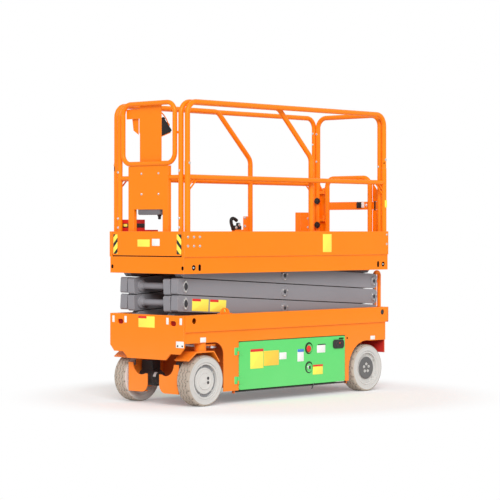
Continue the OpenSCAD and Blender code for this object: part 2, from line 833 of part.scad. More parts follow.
// Swing-out tray fixed to the inside of its door
module tray(right) {
    on_side(right) color(black) {
        block([tray_x0, tray_y0, tray_z0], [tray_x1, panel_y0, tray_z0 + tray_t]);
        block([tray_x0, tray_y0, tray_z0], [tray_x1, tray_y0 + tray_t, tray_z0 + tray_wall_h]);
        for (x = [tray_x0, tray_x1 - tray_t])
            block([x, tray_y0, tray_z0], [x + tray_t, panel_y0, tray_z0 + tray_wall_h]);
    }
}

module tray_left() { tray(false); }
module tray_right() { tray(true); }

battery_h = 285;
battery_gap = 12;
pump_l = 700;
pump_h = 300;

// Heavy masses in the trays, as plain blocks
module battery_block() {
    color(black) block([tray_x0 + battery_gap, tray_y0 + battery_gap, tray_z0 + tray_t],
        [tray_x1 - battery_gap, panel_y0 - battery_gap, tray_z0 + tray_t + battery_h]);
}

module pump_block() {
    mirror([0, 1, 0]) color(steel)
        block([tray_x1 - battery_gap - pump_l, tray_y0 + battery_gap, tray_z0 + tray_t],
            [tray_x1 - battery_gap, panel_y0 - battery_gap, tray_z0 + tray_t + pump_h]);
}

// Scissor stack

arm_short_end = 42;
arm_long_end = 80;
arm_rear_cut = 22;
arm_front_cut = 10;
lens_h = 96;
lens_w = 76;

// Outline of an arm along its own axis from the rear pin, with its end corners cut off
module arm_outline(long) {
    h = arm_h / 2;
    end = arm_l + (long ? arm_long_end : arm_short_end);
    cut = long ? arm_front_cut : arm_rear_cut;
    polygon([[arm_rear_cut - arm_short_end, -h], [end - cut, -h], [end, cut - h], [end, h - cut],
        [end - cut, h], [arm_rear_cut - arm_short_end, h],
        [-arm_short_end, h - arm_rear_cut], [-arm_short_end, arm_rear_cut - h]]);
}

// Lens-shaped lock plate on a front pin, where two discs overlap
module lock_plate() {
    r = (lens_h * lens_h + lens_w * lens_w) / lens_w / 4;
    intersection() {
        rod_y(arm_l - r + lens_w / 2, 0, outer_y1, outer_y1 + ring_t, 2 * r);
        rod_y(arm_l + r - lens_w / 2, 0, outer_y1, outer_y1 + ring_t, 2 * r);
    }
}

module at_outer(k) {
    translate([-rear_pin_x, 0, pin_z(k)]) rotate([0, -stow_angle, 0]) children();
}

module at_inner(k) {
    translate([-rear_pin_x, 0, pin_z(k + 1)]) rotate([0, stow_angle, 0]) children();
}

// Pair of outer arms of one level, bored for the pins of the inner arms
module outer_arms(k) {
    top = k == levels - 1;
    color(arm_grey) at_outer(k) pair() {
        difference() {
            union() {
                side_slab(outer_y0, outer_y1) arm_outline(!top);
                for (u = [0, arm_l / 2]) rod_y(u, 0, outer_y1, outer_y1 + ring_t, ring_d);
                lock_plate();
            }
            for (u = [0, arm_l / 2])
                rod_y(u, 0, outer_y0 - over, outer_y1 + ring_t + over, pin_d + 2 * run_fit);
            if (!top)
                rod_y(arm_l, 0, outer_y0 - over, outer_y1 + ring_t + over, pin_d + 2 * open_fit);
        }
        if (top) rod_y(arm_l, 0, top_roller_y0 - ring_t, outer_y0, roller_pin_d);
    }
}

// Pair of inner arms of one level, joined by cross tubes, with the pivot pins
module inner_arms(k) {
    bottom = k == 0;
    top = k == levels - 1;
    color(arm_grey) at_inner(k) {
        pair() {
            side_slab(inner_y0, inner_y1) arm_outline(!bottom);
            rod_y(0, 0, inner_y1, top ? bracket_y1 + over : pin_tip_y, pin_d);
            rod_y(arm_l / 2, 0, inner_y1, pin_tip_y, pin_d);
            rod_y(arm_l, 0, inner_y1, bottom ? roller_y1 + ring_t : pin_tip_y,
                bottom ? roller_pin_d : pin_d);
            // Stubs that hold the lift rod's eye
            if (k == 1) rod_y(eye_u, eye_v, foot_w / 2 + eye_side_gap, inner_y0, cross_d);
        }
        for (u = [0, arm_l]) rod_y(u, 0, -inner_y0, inner_y0, cross_d);
        if (bottom) rod_y(foot_u, foot_v, -inner_y0, inner_y0, cross_d);
    }
}

module outer_arms_1() { outer_arms(0); }
module outer_arms_2() { outer_arms(1); }
module outer_arms_3() { outer_arms(2); }
module inner_arms_1() { inner_arms(0); }
module inner_arms_2() { inner_arms(1); }
module inner_arms_3() { inner_arms(2); }

module roller(x, z, y0, y1) {
    difference() {
        rod_y(x, z, y0, y1, roller_d);
        rod_y(x, z, y0 - over, y1 + over, roller_pin_d + 2 * roller_pin_fit);
    }
}

module lower_rollers() {
    color(black) pair() roller(front_pin_x, pin_z(0), roller_y0, roller_y1);
}

module upper_rollers() {
    color(black) pair() roller(front_pin_x, pin_z(levels), top_roller_y0, top_roller_y1);
}

// Along the lift cylinder from its foot pin
module at_lift() {
    translate([foot_pos[0], 0, foot_pos[1]]) rotate([0, -lift_angle, 0]) children();
}

module lift_barrel() {
    color(black) at_lift() difference() {
        union() {
            rod_x(0, 0, foot_d / 4, lift_l * barrel_share, barrel_d);
            rod_y(0, 0, -foot_w / 2, foot_w / 2, foot_d);
        }
        rod_y(0, 0, -barrel_d, barrel_d, cross_d + 2 * run_fit);
        rod_x(0, 0, lift_l * rod_depth_share, lift_l, lift_rod_d + 2 * run_fit);
    }
}

module lift_rod() {
    color(steel) at_lift() difference() {
        union() {
            rod_x(0, 0, lift_l * rod_depth_share + clear, lift_l - cross_d / 2, lift_rod_d);
            rod_y(lift_l, 0, -foot_w / 2, foot_w / 2, foot_d);
        }
        rod_y(lift_l, 0, -foot_w, foot_w, cross_d + 2 * run_fit);
    }
}

// Platform

bracket_y0 = inner_y1 + ring_t;
bracket_y1 = bracket_y0 + bracket_t;
beam_h = 40;
beam_w = 60;
// Places of the cross beams under the deck, as shares of the half length
beam_shares = [-0.86, -0.43, 0, 0.43, 0.86];

module deck() {
    color(orange_dark) block([-tail_in_x + seat, -toe_y0 + seat, deck_z - deck_t],
        [nose_in_x - seat, toe_y0 - seat, deck_z]);
}

// Cross beams under the deck, tracks for the upper rollers and brackets for the top pins
module platform_frame() {
    under = deck_z - deck_t;
    track_z = pin_z(levels) + roller_d / 2 + seat;
    color(orange_dark) {
        for (s = beam_shares)
            block([tail_x * s - beam_w / 2, -skirt_y0 + seat, under - beam_h],
                [tail_x * s + beam_w / 2, skirt_y0 - seat, under]);
        pair() {
            block([front_pin_x - arm_l * roller_run_share, top_roller_y0, track_z],
                [nose_in_x - seat, top_roller_y1 - over, track_z + track_t]);
            block([front_pin_x - arm_l * roller_run_share, top_roller_y0, track_z],
                [nose_in_x - seat, top_roller_y0 + track_t, under]);
            difference() {
                block([-rear_pin_x - bracket_w / 4, bracket_y0, pin_z(levels) - pin_d],
                    [-rear_pin_x + bracket_w / 2, bracket_y1, under]);
                rod_y(-rear_pin_x, pin_z(levels), bracket_y0 - over, bracket_y1 + over,
                    pin_d + 2 * run_fit);
            }
        }
    }
}

rear_post_y = main_rail_y - sleeve_d / 2 - over - tube_d / 2;
gate_half_w = rear_post_y - gate_inset;
gate_leg_gap = 10;
gate_hole = gate_half_w + tube_d / 2 + gate_leg_gap;

skirt_hole_rise = 45;
skirt_hole_d = 42;
skirt_slot_w = 30;
skirt_slot_h = 52;
// Places of the round holes and the slots, in from the front face and from the rear edge
skirt_hole_in = [108, 57];
skirt_slot_in = [171, 122];

// Side of the skirt with access holes and slots at both ends
module skirt_side() {
    z = skirt_z0 + skirt_hole_rise;
    difference() {
        translate([-tail_in_x, skirt_z0]) square([tail_in_x + nose_in_x, skirt_low_h]);
        for (x = [nose_x - skirt_hole_in[0], skirt_hole_in[1] - tail_x])
            translate([x, z]) circle(d = skirt_hole_d);
        for (x = [nose_x - skirt_slot_in[0], skirt_slot_in[1] - tail_x])
            translate([x, z]) round_rect([-skirt_slot_w, -skirt_slot_h] / 2,
                [skirt_slot_w, skirt_slot_h] / 2, skirt_slot_w / 2 * near_one_share);
    }
}

// Sliding front toe board: gap below it, how far it stands out beside the extension, corners
front_toe_gap = 8;
front_toe_lap = 16;
front_toe_r = 15;
front_toe_y = ext_half_w + front_toe_lap;

// Folded skirt and toe boards round the platform, open at the gate
module skirt() {
    color(orange) {
        pair() {
            side_slab(skirt_y0, skirt_y1) skirt_side();
            block([-tail_in_x, skirt_y0, skirt_z1 - sheet_t], [nose_in_x, half_w, skirt_z1]);
            block([-tail_in_x, toe_y0, skirt_z1], [nose_x, half_w, toe_z]);
            block([-tail_in_x, half_w - flange_w, toe_z - sheet_t], [nose_in_x - clear, half_w, toe_z]);
            block([-tail_x, gate_hole, skirt_z1], [-tail_in_x, half_w, toe_z]);
            block([-tail_x, rear_post_y - tube_d / 2, toe_z - sheet_t],
                [-tail_x + 2 * tube_d, half_w, toe_z]);
        }
        block([-tail_x, -skirt_y1, skirt_z0], [-tail_in_x, skirt_y1, skirt_z1]);
        block([-tail_x, -half_w, skirt_z1 - sheet_t], [-tail_in_x, half_w, deck_z]);
        block([nose_in_x, -skirt_y1, skirt_z0], [nose_x, skirt_y1, skirt_z1 - front_toe_gap]);
        // Corner cheeks beside the sliding toe board
        pair() block([nose_in_x, front_toe_y + clear, skirt_z1 - front_toe_gap - over], [nose_x, half_w, toe_z]);
    }
}

brace_l = 80;
brace_d = 12;

// Side guard rail: bent top tube and posts in sleeves, with a braced middle rail
module main_rail(right) {
    on_side(right) color(orange) {
        translate([0, main_rail_y, 0]) rotate([90, 0, 0])
            bent_tube([[main_front_x, toe_z], [main_front_x, top_rail_z],
                [-main_rear_x, top_rail_z], [-main_rear_x, toe_z]], rail_bend_r, tube_d);
        rod_x(main_rail_y, mid_rail_z, -main_rear_x, main_front_x, mid_tube_d);
        for (x = [-main_rear_x, main_front_x]) {
            rod_z(x, main_rail_y, toe_z, toe_z + rail_h * sleeve_share, sleeve_d);
            translate([x, main_rail_y, mid_rail_z - brace_l]) rotate([0, x > 0 ? -45 : 45, 0])
                cylinder(h = brace_l / cos(45), d = brace_d);
        }
    }
}

module main_rail_left() { main_rail(false); }
module main_rail_right() { main_rail(true); }

gate_hinge_out = 40;
gate_hinge_y = gate_half_w + gate_hinge_out;
gate_knuckle_d = 22;
gate_knuckle_h = 50;
// Heights of the gate's hinges, as shares of its height
gate_hinge_shares = [0.42, 0.8];

corner_t = 6;
corner_gap = 6;
corner_notch = 60;
corner_y = gate_half_w + tube_d / 2 + corner_gap;

// Rear guard rail over the gate, with a corner plate and the gate's hinge and latch brackets
module rear_rail() {
    color(orange) {
        translate([-main_rear_x, 0, 0]) rotate([90, 0, 90])
            bent_tube([[-rear_post_y, toe_z], [-rear_post_y, top_rail_z],
                [rear_post_y, top_rail_z], [rear_post_y, toe_z]], rail_bend_r, tube_d);
        for (s = gate_hinge_shares) {
            z = deck_z + gate_h * s;
            block([-main_rear_x - hinge_leaf_t, -rear_post_y, z - gate_knuckle_h / 2],
                [-main_rear_x + hinge_leaf_t, -gate_hinge_y, z - seat]);
            rod_z(-main_rear_x, -gate_hinge_y, z - gate_knuckle_h / 2, z - seat, gate_knuckle_d);
        }
        front_slab(-main_rear_x - tube_d / 2 - corner_t, -main_rear_x - tube_d / 2 + over) polygon([
            [-rear_post_y, toe_z], [-corner_y, toe_z], [-corner_y, mid_rail_z],
            [-(corner_y + rear_post_y) / 2, mid_rail_z - corner_notch], [-rear_post_y, mid_rail_z]]);
        translate([-main_rear_x, 0, deck_z + gate_h * latch_share]) {
            block([-tube_d / 2 - hinge_leaf_t, gate_half_w, -latch_h / 2],
                [-tube_d / 2 - seat, rear_post_y + tube_d / 2, latch_h / 2]);
            block([-tube_d / 2 - hinge_leaf_t, rear_post_y, -latch_h / 2],
                [0, rear_post_y + hinge_leaf_t, latch_h / 2]);
        }
    }
}
latch_share = 0.59;
latch_h = 66;

gate_low = 62;
gate_bend_r = 70;
kick_t = 6;

// Entry gate: bent tube frame with a flat bar and a kick plate
module gate() {
    low = deck_z + gate_low;
    top = deck_z + gate_h - tube_d / 2;
    bar_z = deck_z + gate_h * latch_share;
    color(orange) {
        translate([-main_rear_x, 0, 0]) rotate([90, 0, 90])
            bent_tube([[-gate_half_w, low], [-gate_half_w, top], [gate_half_w, top],
                [gate_half_w, low]], gate_bend_r, tube_d);
        block([-main_rear_x - kick_t / 2, -gate_half_w, low],
            [-main_rear_x + kick_t / 2, gate_half_w, toe_z]);
        block([-main_rear_x - kick_t, -gate_half_w, bar_z - latch_h / 2],
            [-main_rear_x + kick_t, gate_half_w, bar_z + latch_h / 2]);
        for (s = gate_hinge_shares) {
            z = deck_z + gate_h * s;
            block([-main_rear_x - hinge_leaf_t, -gate_hinge_y, z],
                [-main_rear_x + hinge_leaf_t, -gate_half_w, z + gate_knuckle_h / 2]);
            rod_z(-main_rear_x, -gate_hinge_y, z, z + gate_knuckle_h / 2, gate_knuckle_d);
        }
    }
}

doc_l = 144;
doc_h = 160;
doc_t = 60;
doc_front = 895;

// Document box on the right toe board
module document_box() {
    y1 = half_w - clear;
    color(orange) difference() {
        block([-doc_front - doc_l, -y1, toe_z], [-doc_front, -y1 + doc_t, toe_z + doc_h]);
        block([-doc_front - doc_l + sheet_t, -y1 + sheet_t, toe_z + sheet_t],
            [-doc_front - sheet_t, -y1 + doc_t - sheet_t, toe_z + doc_h + over]);
    }
}

// Extension

strip_w = 30;
strip_in = 40;

// Sliding deck with its toe boards, on wear strips over the main deck
module extension_deck() {
    color(orange) {
        block([ext_rear_x, -ext_half_w, deck_z + ext_deck_gap], [nose_in_x, ext_half_w, ext_deck_z1]);
        front_slab(nose_in_x, nose_x)
            round_rect([-front_toe_y, skirt_z1], [front_toe_y, toe_z], front_toe_r);
        pair() {
            block([ext_rear_x, ext_half_w - toe_t, deck_z + ext_deck_gap], [nose_in_x, ext_half_w, toe_z]);
            block([ext_rear_x, ext_half_w - strip_in - strip_w, deck_z + seat],
                [nose_in_x, ext_half_w - strip_in, deck_z + ext_deck_gap]);
        }
    }
}

short_rail_share = 0.9;

// Side rails of the extension, sloped down to their rear posts, and the short front rails
module extension_rails() {
    color(orange) pair() {
        translate([0, ext_rail_y, 0]) rotate([90, 0, 0])
            bent_tube([[ext_front_x, ext_deck_z1], [ext_front_x, top_rail_z],
                [ext_slope_top_x, top_rail_z], [ext_post_x, top_rail_z - rail_slope_drop],
                [ext_post_x, ext_deck_z1]], rail_bend_r, tube_d);
        rod_x(ext_rail_y, mid_rail_z, ext_post_x, ext_front_x, mid_tube_d);
        rod_y(ext_front_x, mid_rail_z, panel_half_w + seat, ext_rail_y, mid_tube_d * short_rail_share);
    }
}

link_d = 20;

// Front loop of bent tube with links to the posts
module front_loop() {
    color(orange) {
        translate([loop_x, 0, 0]) rotate([90, 0, 90])
            bent_tube([[-loop_half_w, loop_low_z], [loop_half_w, loop_low_z],
                [loop_half_w, loop_top_z], [-loop_half_w, loop_top_z]], loop_bend_r, loop_tube_d, true);
        pair() rod_y(ext_front_x, (loop_low_z + loop_top_z) / 2, loop_half_w,
            ext_rail_y - tube_d / 2 - seat, link_d);
    }
}

bracket_drop = 110;
bracket_depth = 60;

// Front panel on two legs, and the plate that stands on it behind the loop
module front_panel() {
    back = loop_x - loop_tube_d / 2 - seat;
    top = loop_low_z - loop_tube_d / 2 - seat;
    color(orange) {
        pair() block([back - plate_t, panel_half_w - leg_w, ext_deck_z1],
            [loop_x + plate_t, panel_half_w, top]);
        block([loop_x, -panel_half_w, top - panel_drop], [loop_x + plate_t, panel_half_w, top]);
        block([back - plate_t, -panel_half_w, top - leg_w], [loop_x, panel_half_w, top]);
        block([back - plate_t, -upper_half_w, top - leg_w], [back, upper_half_w, loop_top_z]);
        // Folded bracket between the upper plate and the loop's right upright
        block([back - plate_t, seat + loop_tube_d / 2 - loop_half_w, loop_top_z - bracket_drop],
            [back, -upper_half_w, loop_top_z - loop_tube_d]);
        block([back - bracket_depth, -upper_half_w - plate_t, loop_top_z - 2 * bracket_drop],
            [back, -upper_half_w, loop_top_z - loop_tube_d]);
    }
}

controller_w = 120;
controller_h = 130;
controller_t = 113;
controller_in = 126;
controller_drop = 120;
// Corners of the control box's side, as shares of its depth and height
controller_shares = [[0, 0], [0, 1], [0.33, 1], [1, 0.38], [0.86, 0.26]];

// Platform control box behind the upper plate, its face tilted up to the operator
module controller() {
    x1 = loop_x - loop_tube_d / 2 - 2 * seat - plate_t;
    z0 = loop_top_z - controller_drop - controller_h;
    y0 = upper_half_w - controller_in;
    color(black) side_slab(y0, y0 + controller_w) polygon([for (s = controller_shares)
        [x1 - controller_t * s[0], z0 + controller_h * s[1]]]);
}

red_l = 100;
red_w = 150;
red_h = 225;
red_step_l = 140;
red_step_h = 147;
red_back = 26;
red_gap = 14;

// Tool box on the deck, with a lower part behind it
module red_box() {
    x1 = ext_front_x - red_back;
    y0 = toe_t + red_gap - ext_half_w;
    color(red) {
        block([x1 - red_l, y0, ext_deck_z1], [x1, y0 + red_w, ext_deck_z1 + red_h]);
        block([x1 - red_l - red_step_l, y0, ext_deck_z1], [x1 - red_l, y0 + red_w, ext_deck_z1 + red_step_h]);
    }
}

lever_base_l = 60;
lever_base_h = 150;
lever_d = 26;
lever_h = 100;
lever_gap = 186;
lever_x = ext_post_x + lever_gap;

// Lock lever of the extension on its base
module deck_lever() {
    y0 = ext_half_w - toe_t - clear;
    color(black) {
        block([lever_x - lever_base_l / 2, -y0, ext_deck_z1],
            [lever_x + lever_base_l / 2, -y0 + lever_base_l, ext_deck_z1 + lever_base_h]);
        rod_z(lever_x, -y0 + lever_base_l / 2, ext_deck_z1 + lever_base_h - over,
            ext_deck_z1 + lever_base_h + lever_h, lever_d);
    }
}

chassis_frame();
chassis_spine();
side_panel_left();
side_panel_right();
front_plate();
rear_plate();
entry_ladder();
rear_axles();
tie_down_lugs();
pothole_guard_left();
pothole_guard_right();
yoke_left();
yoke_right();
drive_motor_left();
drive_motor_right();
tie_rod();
tyre_front_left();
tyre_front_right();
tyre_rear_left();
tyre_rear_right();
rim_front_left();
rim_front_right();
rim_rear_left();
rim_rear_right();
door_left();
door_right();
tray_left();
tray_right();
battery_block();
pump_block();
outer_arms_1();
outer_arms_2();
outer_arms_3();
inner_arms_1();
inner_arms_2();
inner_arms_3();
lower_rollers();
upper_rollers();
lift_barrel();
lift_rod();
platform_frame();
deck();
skirt();
main_rail_left();
main_rail_right();
rear_rail();
gate();
document_box();
extension_deck();
extension_rails();
front_loop();
front_panel();
controller();
red_box();
deck_lever();
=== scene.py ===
import json
import math

import bmesh
import bpy
from mathutils import Matrix, Vector
from mathutils.geometry import interpolate_bezier


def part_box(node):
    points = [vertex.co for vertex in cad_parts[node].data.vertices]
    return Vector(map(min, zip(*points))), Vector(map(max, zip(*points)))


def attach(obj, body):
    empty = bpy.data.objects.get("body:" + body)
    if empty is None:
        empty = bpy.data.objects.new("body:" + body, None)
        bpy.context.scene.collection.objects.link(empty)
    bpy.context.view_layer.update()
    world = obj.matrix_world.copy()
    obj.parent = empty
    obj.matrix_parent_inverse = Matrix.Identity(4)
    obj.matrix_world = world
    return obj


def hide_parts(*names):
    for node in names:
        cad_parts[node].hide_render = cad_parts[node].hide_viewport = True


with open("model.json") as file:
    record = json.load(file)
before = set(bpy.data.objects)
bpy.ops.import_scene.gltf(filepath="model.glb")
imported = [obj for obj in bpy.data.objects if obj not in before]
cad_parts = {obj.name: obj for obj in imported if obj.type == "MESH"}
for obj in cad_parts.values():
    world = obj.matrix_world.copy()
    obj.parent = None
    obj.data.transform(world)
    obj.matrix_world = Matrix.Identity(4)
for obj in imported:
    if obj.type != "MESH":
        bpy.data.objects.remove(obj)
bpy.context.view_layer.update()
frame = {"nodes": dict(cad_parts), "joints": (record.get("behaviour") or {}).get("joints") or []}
nodes = frame["nodes"]
scene = bpy.context.scene


# Camera
# A long lens at chest height, level, ahead of the machine on its left side. The lens is shifted
# and not tilted, so that upright posts stay upright.
camera_place = Vector((11.152, 10.320, 1.309))
camera_aim = Vector((-0.7272, -0.6864, 0.0))
camera_lens, camera_film = 136.8, 36.0
camera_shift = (0.021, -0.0376)

camera_data = bpy.data.cameras.new("camera")
camera_data.lens, camera_data.sensor_width = camera_lens, camera_film
camera_data.shift_x, camera_data.shift_y = camera_shift
camera = bpy.data.objects.new("camera", camera_data)
camera.location = camera_place
camera.rotation_euler = camera_aim.to_track_quat("-Z", "Y").to_euler()
scene.collection.objects.link(camera)
scene.camera = camera


# Studio
# White sweep of paper under and behind the machine, lit evenly by a white room and by one
# wide soft lamp high on the camera's side. The paper fades to plain white away from the wheels.
floor_half, floor_cells = 30.0, 4
fade_from, fade_to = 1.25, 2.1
shadow_lift = 0.20
room_level, lamp_level = 0.58, 2.4
room_white, paper_white = (1.0, 1.0, 1.0, 1.0), (0.95, 0.95, 0.95, 1.0)
lamp_from = Vector((0.95, 1.0, 0.80))
lamp_spread = math.radians(35)


def add_node(tree, kind, settings=None, inputs=None):
    made = tree.nodes.new(kind)
    for key, value in (settings or {}).items():
        setattr(made, key, value)
    for key, value in (inputs or {}).items():
        if isinstance(value, bpy.types.NodeSocket):
            tree.links.new(value, made.inputs[key])
        else:
            made.inputs[key].default_value = value
    return made


def math_node(tree, operation, a, b):
    return add_node(tree, "ShaderNodeMath", {"operation": operation}, {0: a, 1: b}).outputs[0]


def seen_directly(tree):
    """1 for what the camera sees, also in a mirror or through glass, and 0 for light on the machine."""
    path = add_node(tree, "ShaderNodeLightPath").outputs
    either = math_node(tree, "MAXIMUM", path["Is Camera Ray"], path["Is Glossy Ray"])
    return math_node(tree, "MAXIMUM", either, path["Is Transmission Ray"])


world = bpy.data.worlds.new("white_room")
scene.world = world
world.use_nodes = True
tree = world.node_tree
tree.nodes.clear()
level = add_node(tree, "ShaderNodeMapRange", None, {0: seen_directly(tree), 3: room_level, 4: 1.0})
light = add_node(tree, "ShaderNodeBackground", None, {"Color": room_white, "Strength": level.outputs[0]})
add_node(tree, "ShaderNodeOutputWorld", None, {"Surface": light.outputs[0]})

lamp_data = bpy.data.lights.new("soft_lamp", "SUN")
lamp_data.energy = lamp_level
lamp_data.angle = lamp_spread
lamp = bpy.data.objects.new("soft_lamp", lamp_data)
lamp.rotation_euler = lamp_from.to_track_quat("Z", "Y").to_euler()
scene.collection.objects.link(lamp)

paper = bpy.data.materials.new("paper")
paper.use_nodes = True
tree = paper.node_tree
tree.nodes.clear()
place = add_node(tree, "ShaderNodeTexCoord").outputs["Object"]
distance = add_node(tree, "ShaderNodeVectorMath", {"operation": "LENGTH"}, {0: place})
fade = add_node(tree, "ShaderNodeMapRange", {"interpolation_type": "SMOOTHSTEP"},
                {0: distance.outputs["Value"], 1: fade_from, 2: fade_to})
lifted = math_node(tree, "MAXIMUM", fade.outputs[0], shadow_lift)
shown = math_node(tree, "MULTIPLY", lifted, seen_directly(tree))
matt = add_node(tree, "ShaderNodeBsdfDiffuse", None, {"Color": paper_white})
bright = add_node(tree, "ShaderNodeEmission", None, {"Strength": 1.0})
mixed = add_node(tree, "ShaderNodeMixShader", None, {0: shown, 1: matt.outputs[0], 2: bright.outputs[0]})
add_node(tree, "ShaderNodeOutputMaterial", None, {"Surface": mixed.outputs[0]})

bm = bmesh.new()
bmesh.ops.create_grid(bm, x_segments=floor_cells, y_segments=floor_cells, size=floor_half)
mesh = bpy.data.meshes.new("floor")
bm.to_mesh(mesh)
bm.free()
floor = bpy.data.objects.new("floor", mesh)
mesh.materials.append(paper)
scene.collection.objects.link(floor)


# Orange steelwork
# Folded and welded sheet and bent tube, powder coated in one bright orange. The coat has a faint
# orange peel, a painted highlight along its edges and a little dust low down. Deck and chassis inside
# have a darker satin coat, partly painted shade, and the walls of the wheel bays a dark red painted shade.
orange = (0.95, 0.222, 0.002)
# Dark red that stands for the shade on the walls of the wheel bays
bay_shade_red = (0.66, 0.018, 0.012)
# Darker satin orange for deck and chassis inside, partly painted shade of the inside
satin_orange_shaded = (0.74, 0.135, 0.003)
front_bay_x, rear_bay_x = 0.75, -1.05
facing_ahead, facing_up = 0.3, 0.5
tone_scale, peel_scale, peel_height = 2.3, 240.0, 0.0008
edge_round, edge_from, edge_to = 0.003, 0.985, 0.75
edge_highlight_share, edge_highlight_tint = 0.45, (1.0, 0.9, 0.8, 1.0)
dust_from, dust_to, dust_colour = 0.75, 0.02, (0.55, 0.50, 0.44, 1.0)
gloss_swing = 0.12


def new_group(name, inputs, outputs):
    group = bpy.data.node_groups.new(name, "ShaderNodeTree")
    for label, kind, value in inputs:
        socket = group.interface.new_socket(label, in_out="INPUT", socket_type=kind)
        socket.default_value = value
    for label, kind in outputs:
        group.interface.new_socket(label, in_out="OUTPUT", socket_type=kind)
    return group, group.nodes.new("NodeGroupInput").outputs, group.nodes.new("NodeGroupOutput")


def mix_colours(tree, factor, a, b):
    mix = add_node(tree, "ShaderNodeMix", {"data_type": "RGBA"})
    for socket, value in ((mix.inputs[0], factor), (mix.inputs[6], a), (mix.inputs[7], b)):
        if isinstance(value, bpy.types.NodeSocket):
            tree.links.new(value, socket)
        else:
            socket.default_value = value
    return mix.outputs[2]


coat, given, result = new_group(
    "powder_coat",
    [("Colour", "NodeSocketColor", (1, 1, 1, 1)), ("Tone", "NodeSocketFloat", 0.08),
     ("Edge Highlight", "NodeSocketFloat", 0.2), ("Peel", "NodeSocketFloat", 0.15),
     ("Dust", "NodeSocketFloat", 0.1), ("Gloss", "NodeSocketFloat", 0.35)],
    [("Colour", "NodeSocketColor"), ("Roughness", "NodeSocketFloat"), ("Normal", "NodeSocketVector")])
place = add_node(coat, "ShaderNodeTexCoord").outputs["Object"]
slow = add_node(coat, "ShaderNodeTexNoise", None,
                {"Vector": place, "Scale": tone_scale, "Detail": 3.0}).outputs[0]
fine = add_node(coat, "ShaderNodeTexNoise", None,
                {"Vector": place, "Scale": peel_scale, "Detail": 2.0}).outputs[0]
swing = math_node(coat, "MULTIPLY", math_node(coat, "SUBTRACT", slow, 0.5), given["Tone"])
toned = add_node(coat, "ShaderNodeHueSaturation", None,
                 {"Color": given["Colour"], "Value": math_node(coat, "ADD", swing, 1.0)}).outputs[0]
# Painted highlight: where the rounded normal turns away from the flat one, the colour is mixed towards a
# pale tint
rounded = add_node(coat, "ShaderNodeBevel", {"samples": 4}, {"Radius": edge_round}).outputs[0]
flat = add_node(coat, "ShaderNodeNewGeometry").outputs["Normal"]
turned_off = add_node(coat, "ShaderNodeVectorMath", {"operation": "DOT_PRODUCT"}, {0: rounded, 1: flat})
edge = add_node(coat, "ShaderNodeMapRange", None,
                {0: turned_off.outputs["Value"], 1: edge_from, 2: edge_to, 3: 0.0, 4: 1.0})
pale = mix_colours(coat, edge_highlight_share, toned, edge_highlight_tint)
highlighted = mix_colours(coat, math_node(coat, "MULTIPLY", edge.outputs[0], given["Edge Highlight"]), toned, pale)
height = add_node(coat, "ShaderNodeSeparateXYZ", None, {0: place}).outputs["Z"]
low = add_node(coat, "ShaderNodeMapRange", {"interpolation_type": "SMOOTHSTEP"},
               {0: height, 1: dust_from, 2: dust_to, 3: 0.0, 4: 1.0})
settled = math_node(coat, "MULTIPLY", math_node(coat, "MULTIPLY", low.outputs[0], slow), given["Dust"])
dusted = mix_colours(coat, settled, highlighted, dust_colour)
uneven = math_node(coat, "MULTIPLY", math_node(coat, "SUBTRACT", fine, 0.5), gloss_swing)
rough = math_node(coat, "ADD", math_node(coat, "ADD", given["Gloss"], uneven), settled)
peel = add_node(coat, "ShaderNodeBump", None, {"Strength": given["Peel"], "Distance": peel_height,
                                               "Height": fine, "Normal": rounded})
for label, socket in (("Colour", dusted), ("Roughness", rough), ("Normal", peel.outputs[0])):
    coat.links.new(socket, result.inputs[label])


# edge sets the strength of the painted highlight along the edges
def coated(name, colour, gloss, tone=0.10, edge=0.35, peel=0.12, dust=0.12, metallic=0.0, shine=0.22):
    material = bpy.data.materials.new(name)
    material.use_nodes = True
    tree = material.node_tree
    shader = tree.nodes["Principled BSDF"]
    group = add_node(tree, "ShaderNodeGroup", {"node_tree": coat},
                     {"Colour": (*colour, 1.0), "Tone": tone, "Edge Highlight": edge, "Peel": peel, "Dust": dust,
                      "Gloss": gloss})
    for label, socket in (("Colour", "Base Color"), ("Roughness", "Roughness"), ("Normal", "Normal")):
        tree.links.new(group.outputs[label], shader.inputs[socket])
    shader.inputs["Metallic"].default_value = metallic
    shader.inputs["Specular IOR Level"].default_value = shine
    return material


def dress(material, *names):
    for name in names:
        materials = nodes[name].data.materials
        if materials:
            materials[0] = material
        else:
            materials.append(material)


orange_coat = coated("orange_coat", orange, 0.38)
bay_shade_coat = coated("bay_shade_coat", bay_shade_red, 0.45)
satin_shaded_coat = coated("satin_shaded_coat", satin_orange_shaded, 0.55, peel=0.3)
dress(orange_coat, "side_panel_left", "side_panel_right", "front_plate", "entry_ladder", "tie_down_lugs",
      "yoke_left", "yoke_right", "skirt", "main_rail_left", "main_rail_right", "rear_rail", "gate",
      "document_box", "extension_deck", "extension_rails", "front_loop", "front_panel")
dress(satin_shaded_coat, "chassis_frame", "chassis_spine", "rear_plate", "rear_axles", "platform_frame", "deck")
# Faces of the wheel bays' walls take the dark red coat as painted shade
for name in ("chassis_frame", "chassis_spine", "rear_plate"):
    mesh = nodes[name].data
    mesh.materials.append(bay_shade_coat)
    for face in mesh.polygons:
        in_front_bay = face.center.x > front_bay_x
        in_rear_bay = face.center.x < rear_bay_x and face.normal.x > facing_ahead
        shaded_bay_wall = (in_front_bay or in_rear_bay) and face.normal.z < facing_up
        face.material_index = 1 if shaded_bay_wall else 0


